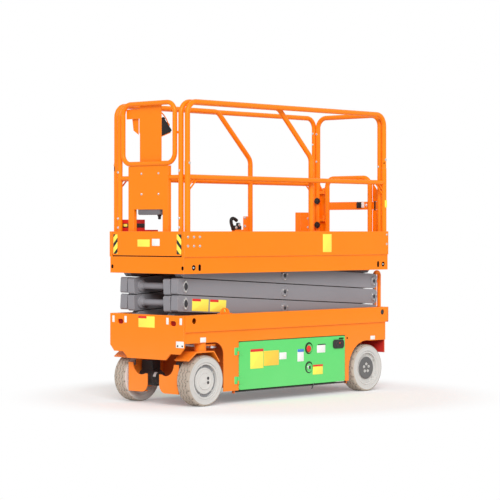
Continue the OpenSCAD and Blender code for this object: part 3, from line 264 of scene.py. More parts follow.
# Scissor arms
# Three pairs of outer and inner arms of rectangular tube with satin grey paint. Bolted rings and
# dark caps hold their rear and middle pins, and a pale pointed plate with two bolts and a dark cap
# each front pin. Collars on the cross tubes keep the inner arms apart.
pin_sink = 0.002
arm_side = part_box("outer_arms_1")[1].y - pin_sink
ring_profile = [(0.019, 0.0), (0.019, 0.006), (0.032, 0.006), (0.037, 0.003), (0.040, 0.0)]
cap_profile = [(0.0, 0.007), (0.010, 0.007), (0.014, 0.005), (0.0155, 0.0), (0.0, 0.0)]
collar_profile = [(0.0255, 0.118), (0.030, 0.124), (0.033, 0.140), (0.048, 0.147), (0.048, 0.1575),
                  (0.0255, 0.1575)]
ring_bolt, ring_bolt_circle, ring_bolt_seat, ring_bolt_turns = 0.005, 0.029, 0.006, (0.6, 2.7, 4.8)
lock_plate, lock_plate_seat, lock_plate_thick = (0.046, 0.092), 0.001, 0.004
lock_cap, lock_cap_seat, lock_cap_thick = (0.035, 0.060), 0.003, 0.006
lock_bolt, lock_bolt_reach, lock_bolt_seat = 0.006, 0.038, 0.005
washer_share, washer_thick_share = 1.45, 0.25
head_top_share, head_thick_share, head_seat_share = 0.9, 0.8, 0.6
crease = math.radians(35)
weld = 1e-5
arm_coat = coated("arm_coat", (0.250, 0.243, 0.262), 0.40, tone=0.14, edge=0.6)
zinc = coated("zinc", (0.62, 0.61, 0.59), 0.32, tone=0.25, edge=0.3, dust=0.05, metallic=0.7)
dark_steel = coated("dark_steel", (0.04, 0.04, 0.045), 0.42, tone=0.3, edge=0.5, metallic=0.3)
dress(arm_coat, "outer_arms_1", "outer_arms_2", "outer_arms_3", "inner_arms_1", "inner_arms_2",
      "inner_arms_3")
joint_place = {joint["name"]: Vector(joint["pos_m"]) for joint in frame["joints"] if joint.get("pos_m")}
left, right, forward = Vector((0, 1, 0)), Vector((0, -1, 0)), Vector((1, 0, 0))
both_sides = (left, right)


def piece(name, bm, body, slot, *materials, replaces=()):
    bmesh.ops.recalc_face_normals(bm, faces=bm.faces)
    mesh = bpy.data.meshes.new(name)
    bm.to_mesh(mesh)
    bm.free()
    mesh.shade_smooth()
    mesh.set_sharp_from_angle(angle=crease)
    for material in materials:
        mesh.materials.append(material)
    made = bpy.data.objects.new(name, mesh)
    scene.collection.objects.link(made)
    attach(made, body)
    if replaces:
        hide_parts(*replaces)
    return made


def spoke(turn):
    """Unit vector at an angle from ahead towards up, seen along the axles."""
    return Vector((math.cos(turn), 0, math.sin(turn)))


def lathe(bm, profile, centre, out, steps=32):
    """Turned shape from (radius, reach) points, about the line through centre along out."""
    before = set(bm.verts)
    centre, out = Vector(centre), Vector(out)
    across = out.orthogonal().normalized()
    points = [bm.verts.new(centre + across * radius + out * reach) for radius, reach in profile]
    pairs = list(zip(points, points[1:]))
    if profile[0][0] > 0:
        pairs.append((points[-1], points[0]))
    lines = [bm.edges.new(pair) for pair in pairs]
    bmesh.ops.spin(bm, geom=points + lines, cent=centre, axis=out, angle=math.tau, steps=steps,
                   use_merge=True)
    bmesh.ops.remove_doubles(bm, verts=[v for v in bm.verts if v not in before], dist=weld)


def bolt(bm, place, out, size):
    """Hexagon head on a washer, seated at place."""
    place, out = Vector(place), Vector(out)
    washer, thick = size * washer_share, size * washer_thick_share
    lathe(bm, [(0, 0), (washer, 0), (washer, thick), (0, thick)], place, out, 20)
    turn = Vector((0, 0, 1)).rotation_difference(out).to_matrix().to_4x4()
    bmesh.ops.create_cone(bm, cap_ends=True, segments=6, radius1=size, radius2=size * head_top_share,
                          depth=size * head_thick_share,
                          matrix=Matrix.Translation(place + out * size * head_seat_share) @ turn)


def cut_plate(bm, points, thick):
    """Flat plate with the outline given by points, thickened along the vector thick."""
    face = bm.faces.new([bm.verts.new(point) for point in points])
    grown = bmesh.ops.extrude_face_region(bm, geom=[face])["geom"]
    moved = [part for part in grown if isinstance(part, bmesh.types.BMVert)]
    bmesh.ops.translate(bm, vec=thick, verts=moved)


def pointed_oval(centre, size, steps=10):
    """Outline of two arcs that meet in points above and below."""
    half_w, half_h = size[0] / 2, size[1] / 2
    radius = (half_w ** 2 + half_h ** 2) / (2 * half_w)
    half_turn = math.asin(half_h / radius)
    points = []
    for sign in (1, -1):
        for step in range(steps):
            turn = sign * half_turn * (2 * step / steps - 1)
            across = sign * (radius * math.cos(turn) - radius + half_w)
            points.append(Vector(centre) + Vector((across, 0, radius * math.sin(turn))))
    return points


for level in (1, 2, 3):
    rear = joint_place["lift" if level == 1 else f"outer_{level}_turn"]
    middle = joint_place[f"inner_{level}_turn"]
    front = 2 * middle - rear
    rings, bolts, locks = bmesh.new(), bmesh.new(), bmesh.new()
    for out in both_sides:
        side = out * arm_side
        for pin in (rear, middle):
            pin = Vector((pin.x, 0, pin.z)) + side
            lathe(rings, ring_profile, pin, out)
            lathe(locks, cap_profile, pin, out)
            for turn in ring_bolt_turns:
                bolt(bolts, pin + spoke(turn) * ring_bolt_circle + out * ring_bolt_seat, out, ring_bolt)
        if level < 3:
            pin = Vector((front.x, 0, front.z)) + side
            cut_plate(bolts, pointed_oval(pin + out * lock_plate_seat, lock_plate), out * lock_plate_thick)
            cut_plate(locks, pointed_oval(pin + out * lock_cap_seat, lock_cap), out * lock_cap_thick)
            for reach in (lock_bolt_reach, -lock_bolt_reach):
                bolt(bolts, pin + Vector((0, 0, reach)) + out * lock_bolt_seat, out, lock_bolt)
    piece(f"pin_rings_{level}", rings, f"outer_{level}", "arm_grey", arm_coat)
    piece(f"pin_bolts_{level}", bolts, f"outer_{level}", "steel", zinc)
    piece(f"pin_locks_{level}", locks, f"outer_{level}", "black_paint", dark_steel)
    if level > 1:
        collars = bmesh.new()
        for out in both_sides:
            lathe(collars, collar_profile, Vector((front.x, 0, rear.z)), out)
        piece(f"cross_tube_collars_{level}", collars, f"inner_{level}", "arm_grey", arm_coat)


# Plates
# Thin blank plates with rounded corners, cut from yellow, white, red and blue sheet and glued flat
# on the door, the arms, the chassis and the platform.
sheet, glue = 0.0015, 0.0005
plate_corner, plate_gloss = 0.004, 0.42
sheet_edge, sharp_turn = 0.0004, 1.0
door_skin = 0.008
panel_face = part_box("door_left")[0].y + door_skin
nose_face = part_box("front_plate")[1].x
fascia_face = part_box("skirt")[1].y
board_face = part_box("extension_deck")[1].x


def plate_sheet(name, colour):
    return coated(name, colour, plate_gloss, tone=0.05, edge=0.1, peel=0.0, dust=0.05)


yellow = plate_sheet("yellow_sheet", (0.96, 0.82, 0.10))
amber = plate_sheet("amber_sheet", (0.93, 0.58, 0.06))
white = plate_sheet("white_sheet", (0.82, 0.82, 0.80))
red = plate_sheet("red_sheet", (0.72, 0.03, 0.025))
blue = plate_sheet("blue_sheet", (0.05, 0.22, 0.62))


def slab(bm, lo, hi, thin, corner, edge=sheet_edge):
    """Block from lo to hi; its edges along the axis thin are rounded by corner, the others by edge."""
    before = set(bm.edges)
    lo, hi = Vector(lo), Vector(hi)
    place = Matrix.LocRotScale((lo + hi) / 2, None, hi - lo)
    verts = bmesh.ops.create_cube(bm, size=1.0, matrix=place)["verts"]
    along = [e for e in {e for v in verts for e in v.link_edges}
             if abs((e.verts[0].co - e.verts[1].co)[thin]) > 1e-6]
    along.sort(key=lambda e: tuple((e.verts[0].co + e.verts[1].co)))
    bmesh.ops.bevel(bm, geom=along, offset=corner, segments=4, profile=0.5, affect="EDGES", material=-1)
    bm.normal_update()
    rim = [e for e in bm.edges if e not in before and e.calc_face_angle(0.0) > sharp_turn]
    bmesh.ops.bevel(bm, geom=rim, offset=edge, segments=2, profile=0.5, affect="EDGES", material=-1)


def stick_on(name, body, slot, material, face, places, layer=0):
    """Plates given as (lo, hi, z lo, z hi): along X on a side face, along Y on a front face."""
    bm = bmesh.new()
    out, at = face
    axis = 0 if out.x else 1
    for lo, hi, z_lo, z_hi in places:
        low, high = Vector((lo, lo, z_lo)), Vector((hi, hi, z_hi))
        low[axis], high[axis] = at + sheet * layer - glue, at + sheet * (layer + 1)
        slab(bm, low, high, axis, min(plate_corner, (z_hi - z_lo) / 4, (hi - lo) / 4))
    return piece(name, bm, body, slot, material)


door_side, fascia = (left, panel_face), (left, fascia_face)
nose, board = (forward, nose_face), (forward, board_face)
stick_on("door_plates_yellow", "door_left", "orange", yellow, door_side,
         [(0.368, 0.514, 0.254, 0.404), (-0.333, -0.213, 0.170, 0.248)])
stick_on("door_plate_amber", "door_left", "orange", amber, door_side, [(0.190, 0.362, 0.269, 0.384)])
stick_on("door_plates_white", "door_left", "rim", white, door_side,
         [(0.101, 0.183, 0.310, 0.364), (-0.103, -0.029, 0.283, 0.380), (-0.363, -0.262, 0.341, 0.401)])
stick_on("door_plates_red", "door_left", "red_plastic", red, door_side,
         [(0.368, 0.514, 0.384, 0.404), (-0.333, -0.213, 0.234, 0.248)], 1)
stick_on("door_plates_blue", "door_left", "black_paint", blue, door_side,
         [(-0.103, -0.029, 0.358, 0.380)], 1)
stick_on("panel_plates", "chassis", "rim", white, door_side,
         [(1.001, 1.061, 0.479, 0.516), (-0.988, -0.931, 0.419, 0.450)])
nose_tag_half = 0.0125
stick_on("nose_plates_white", "chassis", "rim", white, nose,
         [(y - nose_tag_half, y + nose_tag_half, 0.615, 0.665) for y in (-0.362, -0.227, 0.227, 0.368)]
         + [(0.318, 0.399, 0.445, 0.493)])
stick_on("nose_plate_yellow", "chassis", "orange", yellow, nose, [(-0.084, 0.090, 0.585, 0.670)])
stick_on("nose_plate_stripe", "chassis", "red_plastic", red, nose, [(-0.084, 0.004, 0.653, 0.670)], 1)
stick_on("fascia_plate", "platform", "orange", yellow, fascia, [(-0.426, -0.321, 1.142, 1.286)])
stick_on("board_plate_yellow", "extension", "orange", yellow, board, [(-0.095, 0.037, 1.192, 1.247)])
stick_on("board_plate_white", "extension", "rim", white, board, [(0.062, 0.144, 1.199, 1.252)])

arm_middle = joint_place["inner_1_turn"]
arm_line = arm_middle - joint_place["lift"]
tilt = math.atan2(arm_line.z, arm_line.x)
along_arm = (Matrix.Translation(arm_middle) @ Matrix.Rotation(-tilt, 4, "Y")
             @ Matrix.Translation(-arm_middle))
arm_face = (left, arm_side - pin_sink)
arm_plate_x, arm_plate_l, arm_stripe_l, arm_stripe_h = (0.889, 0.698), 0.176, 0.090, 0.018
arm_plate_low, arm_plate_high = arm_middle.z - 0.052, arm_middle.z + 0.040
arm_plates = stick_on("arm_plates", "outer_1", "orange", yellow, arm_face,
                      [(x, x + arm_plate_l, arm_plate_low, arm_plate_high) for x in arm_plate_x])
arm_stripes = stick_on("arm_plate_stripes", "outer_1", "red_plastic", red, arm_face,
                       [(x + arm_plate_l - arm_stripe_l, x + arm_plate_l,
                         arm_plate_high - arm_stripe_h, arm_plate_high) for x in arm_plate_x], 1)
for made in (arm_plates, arm_stripes):
    made.data.transform(along_arm)


# Doors
# Pressed steel doors of the two swing-out trays in gloss green. The left one carries the ground
# controls: a red stop button and a key switch in round wells, a charger socket and a latch slot.
# Dark green rings shifted to one side in the wells, a dark green slit and the black latch slot are painted
# shade.
inlay = 0.0008
slit_shade_area, slit_corner = (-0.368, -0.272, 0.402, 0.410), 0.003
latch_slot_area, latch_slot_corner = (-0.591, -0.532, 0.440, 0.451), 0.004
well_seat = panel_face - 0.001
stop_well, key_well = Vector((-0.1665, well_seat, 0.3829)), Vector((-0.1678, well_seat, 0.2314))
well_inner, well_outer, well_low, well_high = 0.036, 0.0465, -0.0035, -0.0025
well_shade_profile = [(well_inner, well_low), (well_inner, well_high), (well_outer, well_high),
                (well_outer, well_low)]
well_shade_shift, well_reach = Vector((-0.0095, 0.0, -0.0035)), well_inner + 0.002
door_stop_profile = [(0.0, 0.012), (0.014, 0.0115), (0.022, 0.009), (0.0275, 0.004), (0.0275, 0.002),
                     (0.018, 0.001), (0.017, -0.003), (0.0, -0.003)]
door_stop_shift = Vector((0.003, 0.0, -0.005))
light_profile = [(0.0, 0.0135), (0.004, 0.0135), (0.0055, 0.012), (0.006, 0.009), (0.0, 0.009)]
light_place = (-0.532, panel_face, 0.409)
socket_area, socket_rise = (-0.587, -0.456, 0.366, 0.437), 0.010
socket_corner, socket_edge = 0.022, 0.003
socket_ring_profile = [(0.010, 0.009), (0.010, 0.0125), (0.016, 0.0125), (0.018, 0.009)]
socket_ring_x, socket_ring_z = (-0.548, -0.503), 0.402
key_low, key_high, key_corner = Vector((-0.003, 0.0, -0.012)), Vector((0.003, 0.016, 0.012)), 0.002
key_barrel_profile = [(0.0, 0.004), (0.011, 0.004), (0.014, 0.002), (0.016, -0.001), (0.0, -0.001)]
door_coat = coated("door_coat", (0.105, 0.645, 0.155), 0.34)
well_shade_green = coated("well_shade_green", (0.004, 0.045, 0.012), 0.5, edge=0.1)
# Flat black that stands for the shade inside holes, slots and gaps
hole_shade_black = coated("hole_shade_black", (0.003, 0.003, 0.004), 0.9, tone=0.0, edge=0.0, peel=0.0, dust=0.0,
                    shine=0.03)
black_mould = coated("black_mould", (0.018, 0.018, 0.019), 0.55, tone=0.2, edge=0.15, peel=0.4)
red_mould = coated("red_mould", (0.70, 0.024, 0.018), 0.40, tone=0.12, edge=0.2, peel=0.2)
dress(door_coat, "door_left", "door_right")


def on_door(bm, area, rise, corner, edge=sheet_edge):
    """Block on the left door over (x lo, x hi, z lo, z hi), standing out by rise."""
    lo, hi, z_lo, z_hi = area
    slab(bm, (lo, panel_face - glue, z_lo), (hi, panel_face + rise, z_hi), 1, corner, edge)


# Painted shade: dark green rings, shifted to one side in each well, and a dark green slit
bm = bmesh.new()
for well in (stop_well, key_well):
    before = set(bm.verts)
    lathe(bm, well_shade_profile, well, left, 48)
    for vert in set(bm.verts) - before:
        if (vert.co - well).length < well_reach:
            vert.co += well_shade_shift
on_door(bm, slit_shade_area, inlay, slit_corner)
piece("door_well_shades", bm, "door_left", "door_green", well_shade_green)

bm = bmesh.new()
on_door(bm, latch_slot_area, inlay, latch_slot_corner)
piece("door_latch_slot_shade", bm, "door_left", "black_paint", hole_shade_black)

bm = bmesh.new()
lathe(bm, door_stop_profile, stop_well + door_stop_shift, left, 40)
lathe(bm, light_profile, light_place, left, 24)
piece("door_buttons", bm, "door_left", "red_plastic", red_mould)

bm = bmesh.new()
on_door(bm, socket_area, socket_rise, socket_corner, socket_edge)
for x in socket_ring_x:
    lathe(bm, socket_ring_profile, (x, panel_face, socket_ring_z), left, 24)
slab(bm, key_well + key_low, key_well + key_high, 1, key_corner)
piece("door_socket", bm, "door_left", "black_plastic", black_mould)

bm = bmesh.new()
lathe(bm, key_barrel_profile, key_well, left, 28)
piece("door_key_barrel", bm, "door_left", "steel", zinc)


# Wheels
# Solid rubber tyres of a pale kind that leaves no marks, with a shallow zigzag tread, on painted
# disc wheels. The front hubs wear a pale round cover, the rear ones a dark flange with five nuts.
tread_columns, zigzag, groove_depth = 96, 0.0055, 0.009
tyre_profile = [(0.1355, 0.0560), (0.1385, 0.0605), (0.1450, 0.0622), (0.1480, 0.0612), (0.1650, 0.0616),
                (0.1685, 0.0632), (0.1760, 0.0630), (0.1845, 0.0590), (0.1890, 0.0520), (0.1902, 0.0440),
                (0.1905, 0.0350), (0.1905, 0.0280), (0.1905, 0.0035), (0.1905, -0.0035), (0.1905, -0.0280),
                (0.1905, -0.0350), (0.1902, -0.0440), (0.1890, -0.0520), (0.1845, -0.0590),
                (0.1760, -0.0630), (0.1450, -0.0622), (0.1385, -0.0605), (0.1355, -0.0560)]
groove_rows, zigzag_rows, tread_rows = (10, 12, 14), range(10, 16), range(6, 18)
lug_pitch, outer_lug_rows, inner_lug_rows, inner_lug_start = 6, (7, 8), (16, 17), 3
wall_mark, tread_mark = 0, 1
cover_profile = [(0.0, 0.004), (0.020, 0.004), (0.022, 0.002), (0.056, 0.002), (0.060, 0.005),
                 (0.066, 0.005), (0.0665, -0.001), (0.0, -0.001)]
cover_rim_profile = [(0.088, -0.001), (0.088, 0.003), (0.096, 0.003), (0.0985, 0.0), (0.0985, -0.001)]
plug_profile = [(0.0, 0.005), (0.009, 0.005), (0.012, 0.003), (0.012, 0.001), (0.0, 0.001)]
plug_places = (Vector((-0.036, 0, 0.018)), Vector((-0.036, 0, -0.014)))
dish_shade_profile = [(0.1005, -0.001), (0.1005, 0.0012), (0.1215, 0.0012), (0.1215, -0.001)]
flange_profile = [(0.0, 0.004), (0.016, 0.004), (0.019, 0.002), (0.042, 0.002), (0.046, 0.005),
                  (0.074, 0.005), (0.087, 0.003), (0.0905, 0.001), (0.0905, -0.001), (0.0, -0.001)]
cover_depth, disc_depth = 0.011, 0.011
hub_nut, hub_nut_circle, hub_nut_seat, hub_nut_start = 0.0085, 0.031, 0.002, 0.25
rim_bolt, rim_bolt_circle, rim_bolt_start = 0.007, 0.117, 0.1
bolts_round = 5
tyre_rubber = coated("tyre_rubber", (0.56, 0.55, 0.53), 0.70, tone=0.16, edge=0.3, peel=0.3, dust=0.2)
tread_rubber = coated("tread_rubber", (0.40, 0.335, 0.275), 0.80, tone=0.4, edge=0.6, peel=0.5, dust=0.2)
wheel_coat = coated("wheel_coat", (0.60, 0.59, 0.57), 0.42, dust=0.15)
dish_shade_coat = coated("dish_shade_coat", (0.24, 0.245, 0.26), 0.5, tone=0.2, dust=0.1)
hub_coat = coated("hub_coat", (0.105, 0.105, 0.108), 0.42, tone=0.2, edge=0.6, dust=0.1)
dress(wheel_coat, "rim_front_left", "rim_front_right", "rim_rear_left", "rim_rear_right")


def tyre(name, body, node, out):
    """Tread and walls from a flat grid, rolled round the axle, with the grooves pushed in."""
    lo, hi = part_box(node)
    centre = (lo + hi) / 2
    rows = len(tyre_profile) - 1
    bm = bmesh.new()
    bmesh.ops.create_grid(bm, x_segments=tread_columns, y_segments=rows, size=1.0)
    spot = {v: (round((v.co.x + 1) / 2 * tread_columns), round((v.co.y + 1) / 2 * rows)) for v in bm.verts}
    sunk = []
    for face in bm.faces:
        column, row = (min(spot[v][axis] for v in face.verts) for axis in (0, 1))
        face.material_index = tread_mark if row in tread_rows else wall_mark
        step = column % lug_pitch
        outer_lug = row in outer_lug_rows and step == 0
        inner_lug = row in inner_lug_rows and step == inner_lug_start
        if row in groove_rows or outer_lug or inner_lug:
            sunk.append(face)
    for vert, (column, row) in spot.items():
        radius, across = tyre_profile[row]
        if row in zigzag_rows:
            across += zigzag * (1 if column // 2 % 2 else -1)
        vert.co = centre + out * across + spoke(math.tau * column / tread_columns) * radius
    grown = bmesh.ops.extrude_face_region(bm, geom=sunk)["geom"]
    bmesh.ops.delete(bm, geom=sunk, context="FACES_KEEP_BOUNDARY")
    for vert in grown:
        if isinstance(vert, bmesh.types.BMVert):
            away = vert.co - centre
            away.y = 0
            vert.co -= away.normalized() * groove_depth
    bmesh.ops.remove_doubles(bm, verts=bm.verts, dist=weld)
    bmesh.ops.bridge_loops(bm, edges=[e for e in bm.edges if e.is_boundary])
    piece(name, bm, body, "tyre", tyre_rubber, tread_rubber, replaces=(node,))


for end in ("front", "rear"):
    for side, out in (("left", left), ("right", right)):
        body = f"wheel_{end}_{side}"
        tyre(f"tread_{end}_{side}", body, f"tyre_{end}_{side}", out)
        lo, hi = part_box(f"rim_{end}_{side}")
        centre = (lo + hi) / 2
        cover = Vector((centre.x, hi.y if out.y > 0 else lo.y, centre.z)) - out * cover_depth
        disc = cover - out * disc_depth
        bolts, hub = bmesh.new(), bmesh.new()
        if end == "front":
            lathe(hub, cover_profile, cover, out, 56)
            lathe(hub, cover_rim_profile, cover, out, 56)
            plugs, dish = bmesh.new(), bmesh.new()
            for place in plug_places:
                lathe(plugs, plug_profile, cover + place, out, 18)
            # Darker grey ring on the disc round the cover: painted shade of the dish
            lathe(dish, dish_shade_profile, disc, out, 56)
            piece(f"wheel_dish_shade_{side}", dish, body, "rim", dish_shade_coat)
            piece(f"hub_plugs_{side}", plugs, body, "black_paint", dark_steel)
            piece(f"hub_cover_{side}", hub, body, "rim", wheel_coat)
        else:
            lathe(hub, flange_profile, cover, out, 56)
            for step in range(bolts_round):
                turn = math.tau * (step + hub_nut_start) / bolts_round
                bolt(bolts, cover + spoke(turn) * hub_nut_circle + out * hub_nut_seat, out, hub_nut)
            piece(f"hub_flange_{side}", hub, body, "black_paint", hub_coat)
        for step in range(bolts_round):
            turn = math.tau * (step + rim_bolt_start) / bolts_round
            bolt(bolts, disc + spoke(turn) * rim_bolt_circle, out, rim_bolt)
        piece(f"wheel_bolts_{end}_{side}", bolts, body, "steel", zinc)


# Drive and lift gear
# Black painted motors, trays, guards and lift barrel, black plastic rollers, and bright steel on
# the lift rod and the tie bar. A short lever hangs under the left tray, and a blank plate is bent
# round the cap of the right motor.
tray_lever_profile = [(0.0, 0.0), (0.0065, 0.0), (0.0060, 0.020), (0.0035, 0.052), (0.0, 0.054)]
tray_lever_place = (-0.230, 0.3885, 0.104)
tray_lever_aim = Vector((0.48, 0.0, -0.87)).normalized()
motor_lo, motor_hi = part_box("drive_motor_right")
cap_radius, cap_height = 0.052, 0.065
motor_axle = Vector(((motor_lo.x + motor_hi.x) / 2, 0, motor_lo.z + cap_height))
motor_plate_sink, motor_plate_y = -0.0004, (-0.1125, -0.0845)
motor_plate_from, motor_plate_turn, motor_plate_steps = 10, 44, 8
black_coat = coated("black_coat", (0.022, 0.022, 0.024), 0.45, tone=0.3, edge=0.25)
bright_steel = coated("bright_steel", (0.62, 0.62, 0.64), 0.25, tone=0.1, edge=0.2, dust=0.05, metallic=1.0)
dress(black_coat, "drive_motor_left", "drive_motor_right", "tray_left", "tray_right", "battery_block",
      "pothole_guard_left", "pothole_guard_right", "lift_barrel", "pump_block")
dress(black_mould, "lower_rollers", "upper_rollers", "controller", "deck_lever")
dress(bright_steel, "lift_rod", "tie_rod")

bm = bmesh.new()
lathe(bm, tray_lever_profile, tray_lever_place, tray_lever_aim, 14)
piece("tray_lever", bm, "door_left", "black_paint", black_coat)

bm = bmesh.new()
out = spoke(math.radians(motor_plate_from))
section = [bm.verts.new(motor_axle + out * (cap_radius + reach) + left * y) for reach, y in
           ((motor_plate_sink, motor_plate_y[0]), (sheet, motor_plate_y[0]),
            (sheet, motor_plate_y[1]), (motor_plate_sink, motor_plate_y[1]))]
lines = [bm.edges.new(pair) for pair in zip(section, section[1:] + section[:1])]
bmesh.ops.spin(bm, geom=section + lines, cent=motor_axle, axis=right,
               angle=math.radians(motor_plate_turn), steps=motor_plate_steps)
bmesh.ops.holes_fill(bm, edges=[e for e in bm.edges if e.is_boundary], sides=len(section))
piece("motor_plate", bm, "steer_right", "rim", white)


# Chassis fittings
# Pin end at the rear of the band, green hinge pads of the doors, black discs painted as the shade in
# the latch hole and the holes of the nose plate, and a dark red plate painted as the shade in the space
# behind the two slots of the front plate.
band_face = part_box("side_panel_left")[1].y - 0.004
pin_end_profile = [(0.0, 0.004), (0.010, 0.004), (0.016, 0.002), (0.019, -0.002), (0.0, -0.002)]
pin_end_x, pin_end_z = -1.075, 0.6415
pad_x, pad_z, pad_half = (0.6615, 0.695), (0.396, 0.176), 0.029
pad_base, pad_top, pad_corner = panel_face + 0.0025, panel_face + 0.0048, 0.006
latch_hole_profile = [(0.0, 0.0008), (0.008, 0.0008), (0.009, -0.0005), (0.0, -0.0005)]
latch_hole_x, latch_hole_z = -0.636, 0.444
nose_hole_profile = [(0.0, 0.0024), (0.007, 0.0024), (0.0075, 0.0), (0.0, 0.0)]
nose_hole_y, nose_hole_z = (0.336, 0.384), 0.458
slot_y, slot_half, slot_z, slot_corner = 0.285, 0.040, (0.598, 0.648), 0.010
slot_back, slot_front = nose_face - 0.0175, nose_face - 0.0138
slot_shade_red = coated("slot_shade_red", (0.30, 0.014, 0.010), 0.7, dust=0.0, shine=0.1)

bm = bmesh.new()
for out in both_sides:
    lathe(bm, pin_end_profile, (pin_end_x, out.y * band_face, pin_end_z), out, 28)
piece("rear_pin_ends", bm, "chassis", "black_paint", dark_steel)

bm = bmesh.new()
for out in both_sides:
    inner, outer = sorted((out.y * pad_base, out.y * pad_top))
    for z in pad_z:
        slab(bm, (pad_x[0], inner, z - pad_half), (pad_x[1], outer, z + pad_half), 1, pad_corner)
piece("hinge_pads", bm, "chassis", "door_green", door_coat)

bm = bmesh.new()
for out in both_sides:
    lathe(bm, latch_hole_profile, (latch_hole_x, out.y * panel_face, latch_hole_z), out, 20)
for y in nose_hole_y:
    lathe(bm, nose_hole_profile, (nose_face, y, nose_hole_z), forward, 20)
piece("chassis_hole_shades", bm, "chassis", "black_paint", hole_shade_black)

# Dark red plates behind the slots: painted shade of the space inside the front plate
bm = bmesh.new()
for y in (slot_y, -slot_y):
    slab(bm, (slot_back, y - slot_half, slot_z[0]), (slot_front, y + slot_half, slot_z[1]), 0, slot_corner)
piece("nose_slot_shades", bm, "chassis", "orange_dark", slot_shade_red)


# Platform fittings
# Zinc bolts that hold the rail posts to the toe boards, the pin ends in the skirt's holes, black
# inlays painted as the shade in the skirt's holes and slots, and a black strip painted as the shade
# in the gap under the extension's toe board.
rail_lo, rail_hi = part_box("main_rail_left")
front_post_x, rear_post_x = 1.186, -1.118
front_post_z, rear_post_z, rear_post_sink, post_bolt = 1.815, 1.901, 0.002, 0.0075
front_board_x, front_board_z = (1.203, 1.140, 1.077), (1.266, 1.199)
rear_board_x, rear_board_z, board_bolt = -1.128, (1.281, 1.203), 0.007
skirt_face = fascia_face - 0.008
skirt_pin_profile = [(0.0, 0.0), (0.005, 0.0), (0.0075, -0.002), (0.0085, -0.006), (0.0, -0.006)]
skirt_hole_profile = [(0.0, -0.0045), (0.0205, -0.0045), (0.0205, -0.006), (0.0, -0.006)]
skirt_hole_x, skirt_hole_z = (1.132, -1.093), 1.0369
skirt_slot_x, skirt_slot_z = (1.069, -1.028), (1.0115, 1.0623)
skirt_slot_half, skirt_slot_corner = 0.0145, 0.012
front_hole_places = ((0.386, 1.034), (-0.374, 1.040))
front_hole_half, front_hole_corner = (0.011, 0.015), 0.0105
gap_shade_x, gap_shade_y, gap_shade_z = (nose_face - 0.013, nose_face - 0.002), 0.371, (1.1165, 1.1243)
gap_shade_corner = 0.003

bm = bmesh.new()
for out in both_sides:
    face, post = out.y * fascia_face, out.y * rail_hi.y
    for x in front_board_x:
        for z in front_board_z:
            bolt(bm, (x, face, z), out, board_bolt)
    for z in rear_board_z:
        bolt(bm, (rear_board_x, face, z), out, board_bolt)
    bolt(bm, (front_post_x, post, front_post_z), out, post_bolt)
    bolt(bm, (rear_post_x, post - out.y * rear_post_sink, rear_post_z), out, post_bolt)
piece("platform_bolts", bm, "platform", "steel", zinc)

bm = bmesh.new()
for out in both_sides:
    for x in skirt_hole_x:
        lathe(bm, skirt_pin_profile, (x, out.y * skirt_face, skirt_hole_z), out, 24)
piece("skirt_pins", bm, "platform", "steel", zinc)

bm = bmesh.new()
for out in both_sides:
    for x in skirt_hole_x:
        lathe(bm, skirt_hole_profile, (x, out.y * skirt_face, skirt_hole_z), out, 28)
    inner, outer = sorted(out.y * (skirt_face + reach) for radius, reach in skirt_hole_profile[1:3])
    for x in skirt_slot_x:
        slab(bm, (x - skirt_slot_half, inner, skirt_slot_z[0]),
             (x + skirt_slot_half, outer, skirt_slot_z[1]), 1, skirt_slot_corner)
for y, z in front_hole_places:
    half_w, half_h = front_hole_half
    slab(bm, (nose_face - glue, y - half_w, z - half_h), (nose_face + inlay, y + half_w, z + half_h), 0,
         front_hole_corner)
piece("skirt_hole_shades", bm, "platform", "black_paint", hole_shade_black)

# Black strip in the gap under the toe board: painted shade of the gap
bm = bmesh.new()
slab(bm, (gap_shade_x[0], -gap_shade_y, gap_shade_z[0]), (gap_shade_x[1], gap_shade_y, gap_shade_z[1]), 2, gap_shade_corner)
piece("board_gap_shade", bm, "platform", "black_plastic", hole_shade_black)


# Extension front
# Folded toe board with striped yellow and black strips at both ends, and the bolts of the posts
# and of the front panel.
strip_y, strip_z, strip_corner = ((-0.362, -0.317), (0.325, 0.373)), (1.137, 1.285), 0.003
stripe_pitch, stripe_share, stripe_steps = 0.078, 0.41, range(17, 24)
panel_front, post_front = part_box("front_panel")[1].x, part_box("extension_rails")[1].x
panel_bolt, panel_bolt_y, panel_bolt_z = 0.006, (-0.072, 0.112), (1.743, 1.588)
loop_bolt, loop_bolt_y, loop_bolt_z = 0.007, (0.3307, -0.3307), (1.406, 1.336, 1.758)
black_sheet = plate_sheet("black_sheet", (0.02, 0.02, 0.022))

bm = bmesh.new()
for lo, hi in strip_y:
    slab(bm, (board_face - glue, lo, strip_z[0]), (board_face + sheet, hi, strip_z[1]), 0, strip_corner)
for side in (1, -1):
    for step in stripe_steps:
        for part in (-stripe_share / 2, stripe_share / 2):
            near = [g for g in [*bm.verts, *bm.edges, *bm.faces]
                    if side * (g.co.y if isinstance(g, bmesh.types.BMVert) else g.verts[0].co.y) > 0]
            bmesh.ops.bisect_plane(bm, geom=near, plane_co=(0, 0, (step + part) * stripe_pitch),
                                   plane_no=(0, side, 1))
for face in bm.faces:
    middle = face.calc_center_median()
    turn = (middle.z + abs(middle.y)) / stripe_pitch
    face.material_index = 1 if abs(turn - round(turn)) < stripe_share / 2 else 0
piece("board_stripes", bm, "extension", "orange", yellow, black_sheet)

bm = bmesh.new()
for y in panel_bolt_y:
    for z in panel_bolt_z:
        bolt(bm, (panel_front, y, z), forward, panel_bolt)
for y in loop_bolt_y:
    for z in loop_bolt_z:
        bolt(bm, (post_front, y, z), forward, loop_bolt)
piece("extension_bolts", bm, "extension", "steel", zinc)


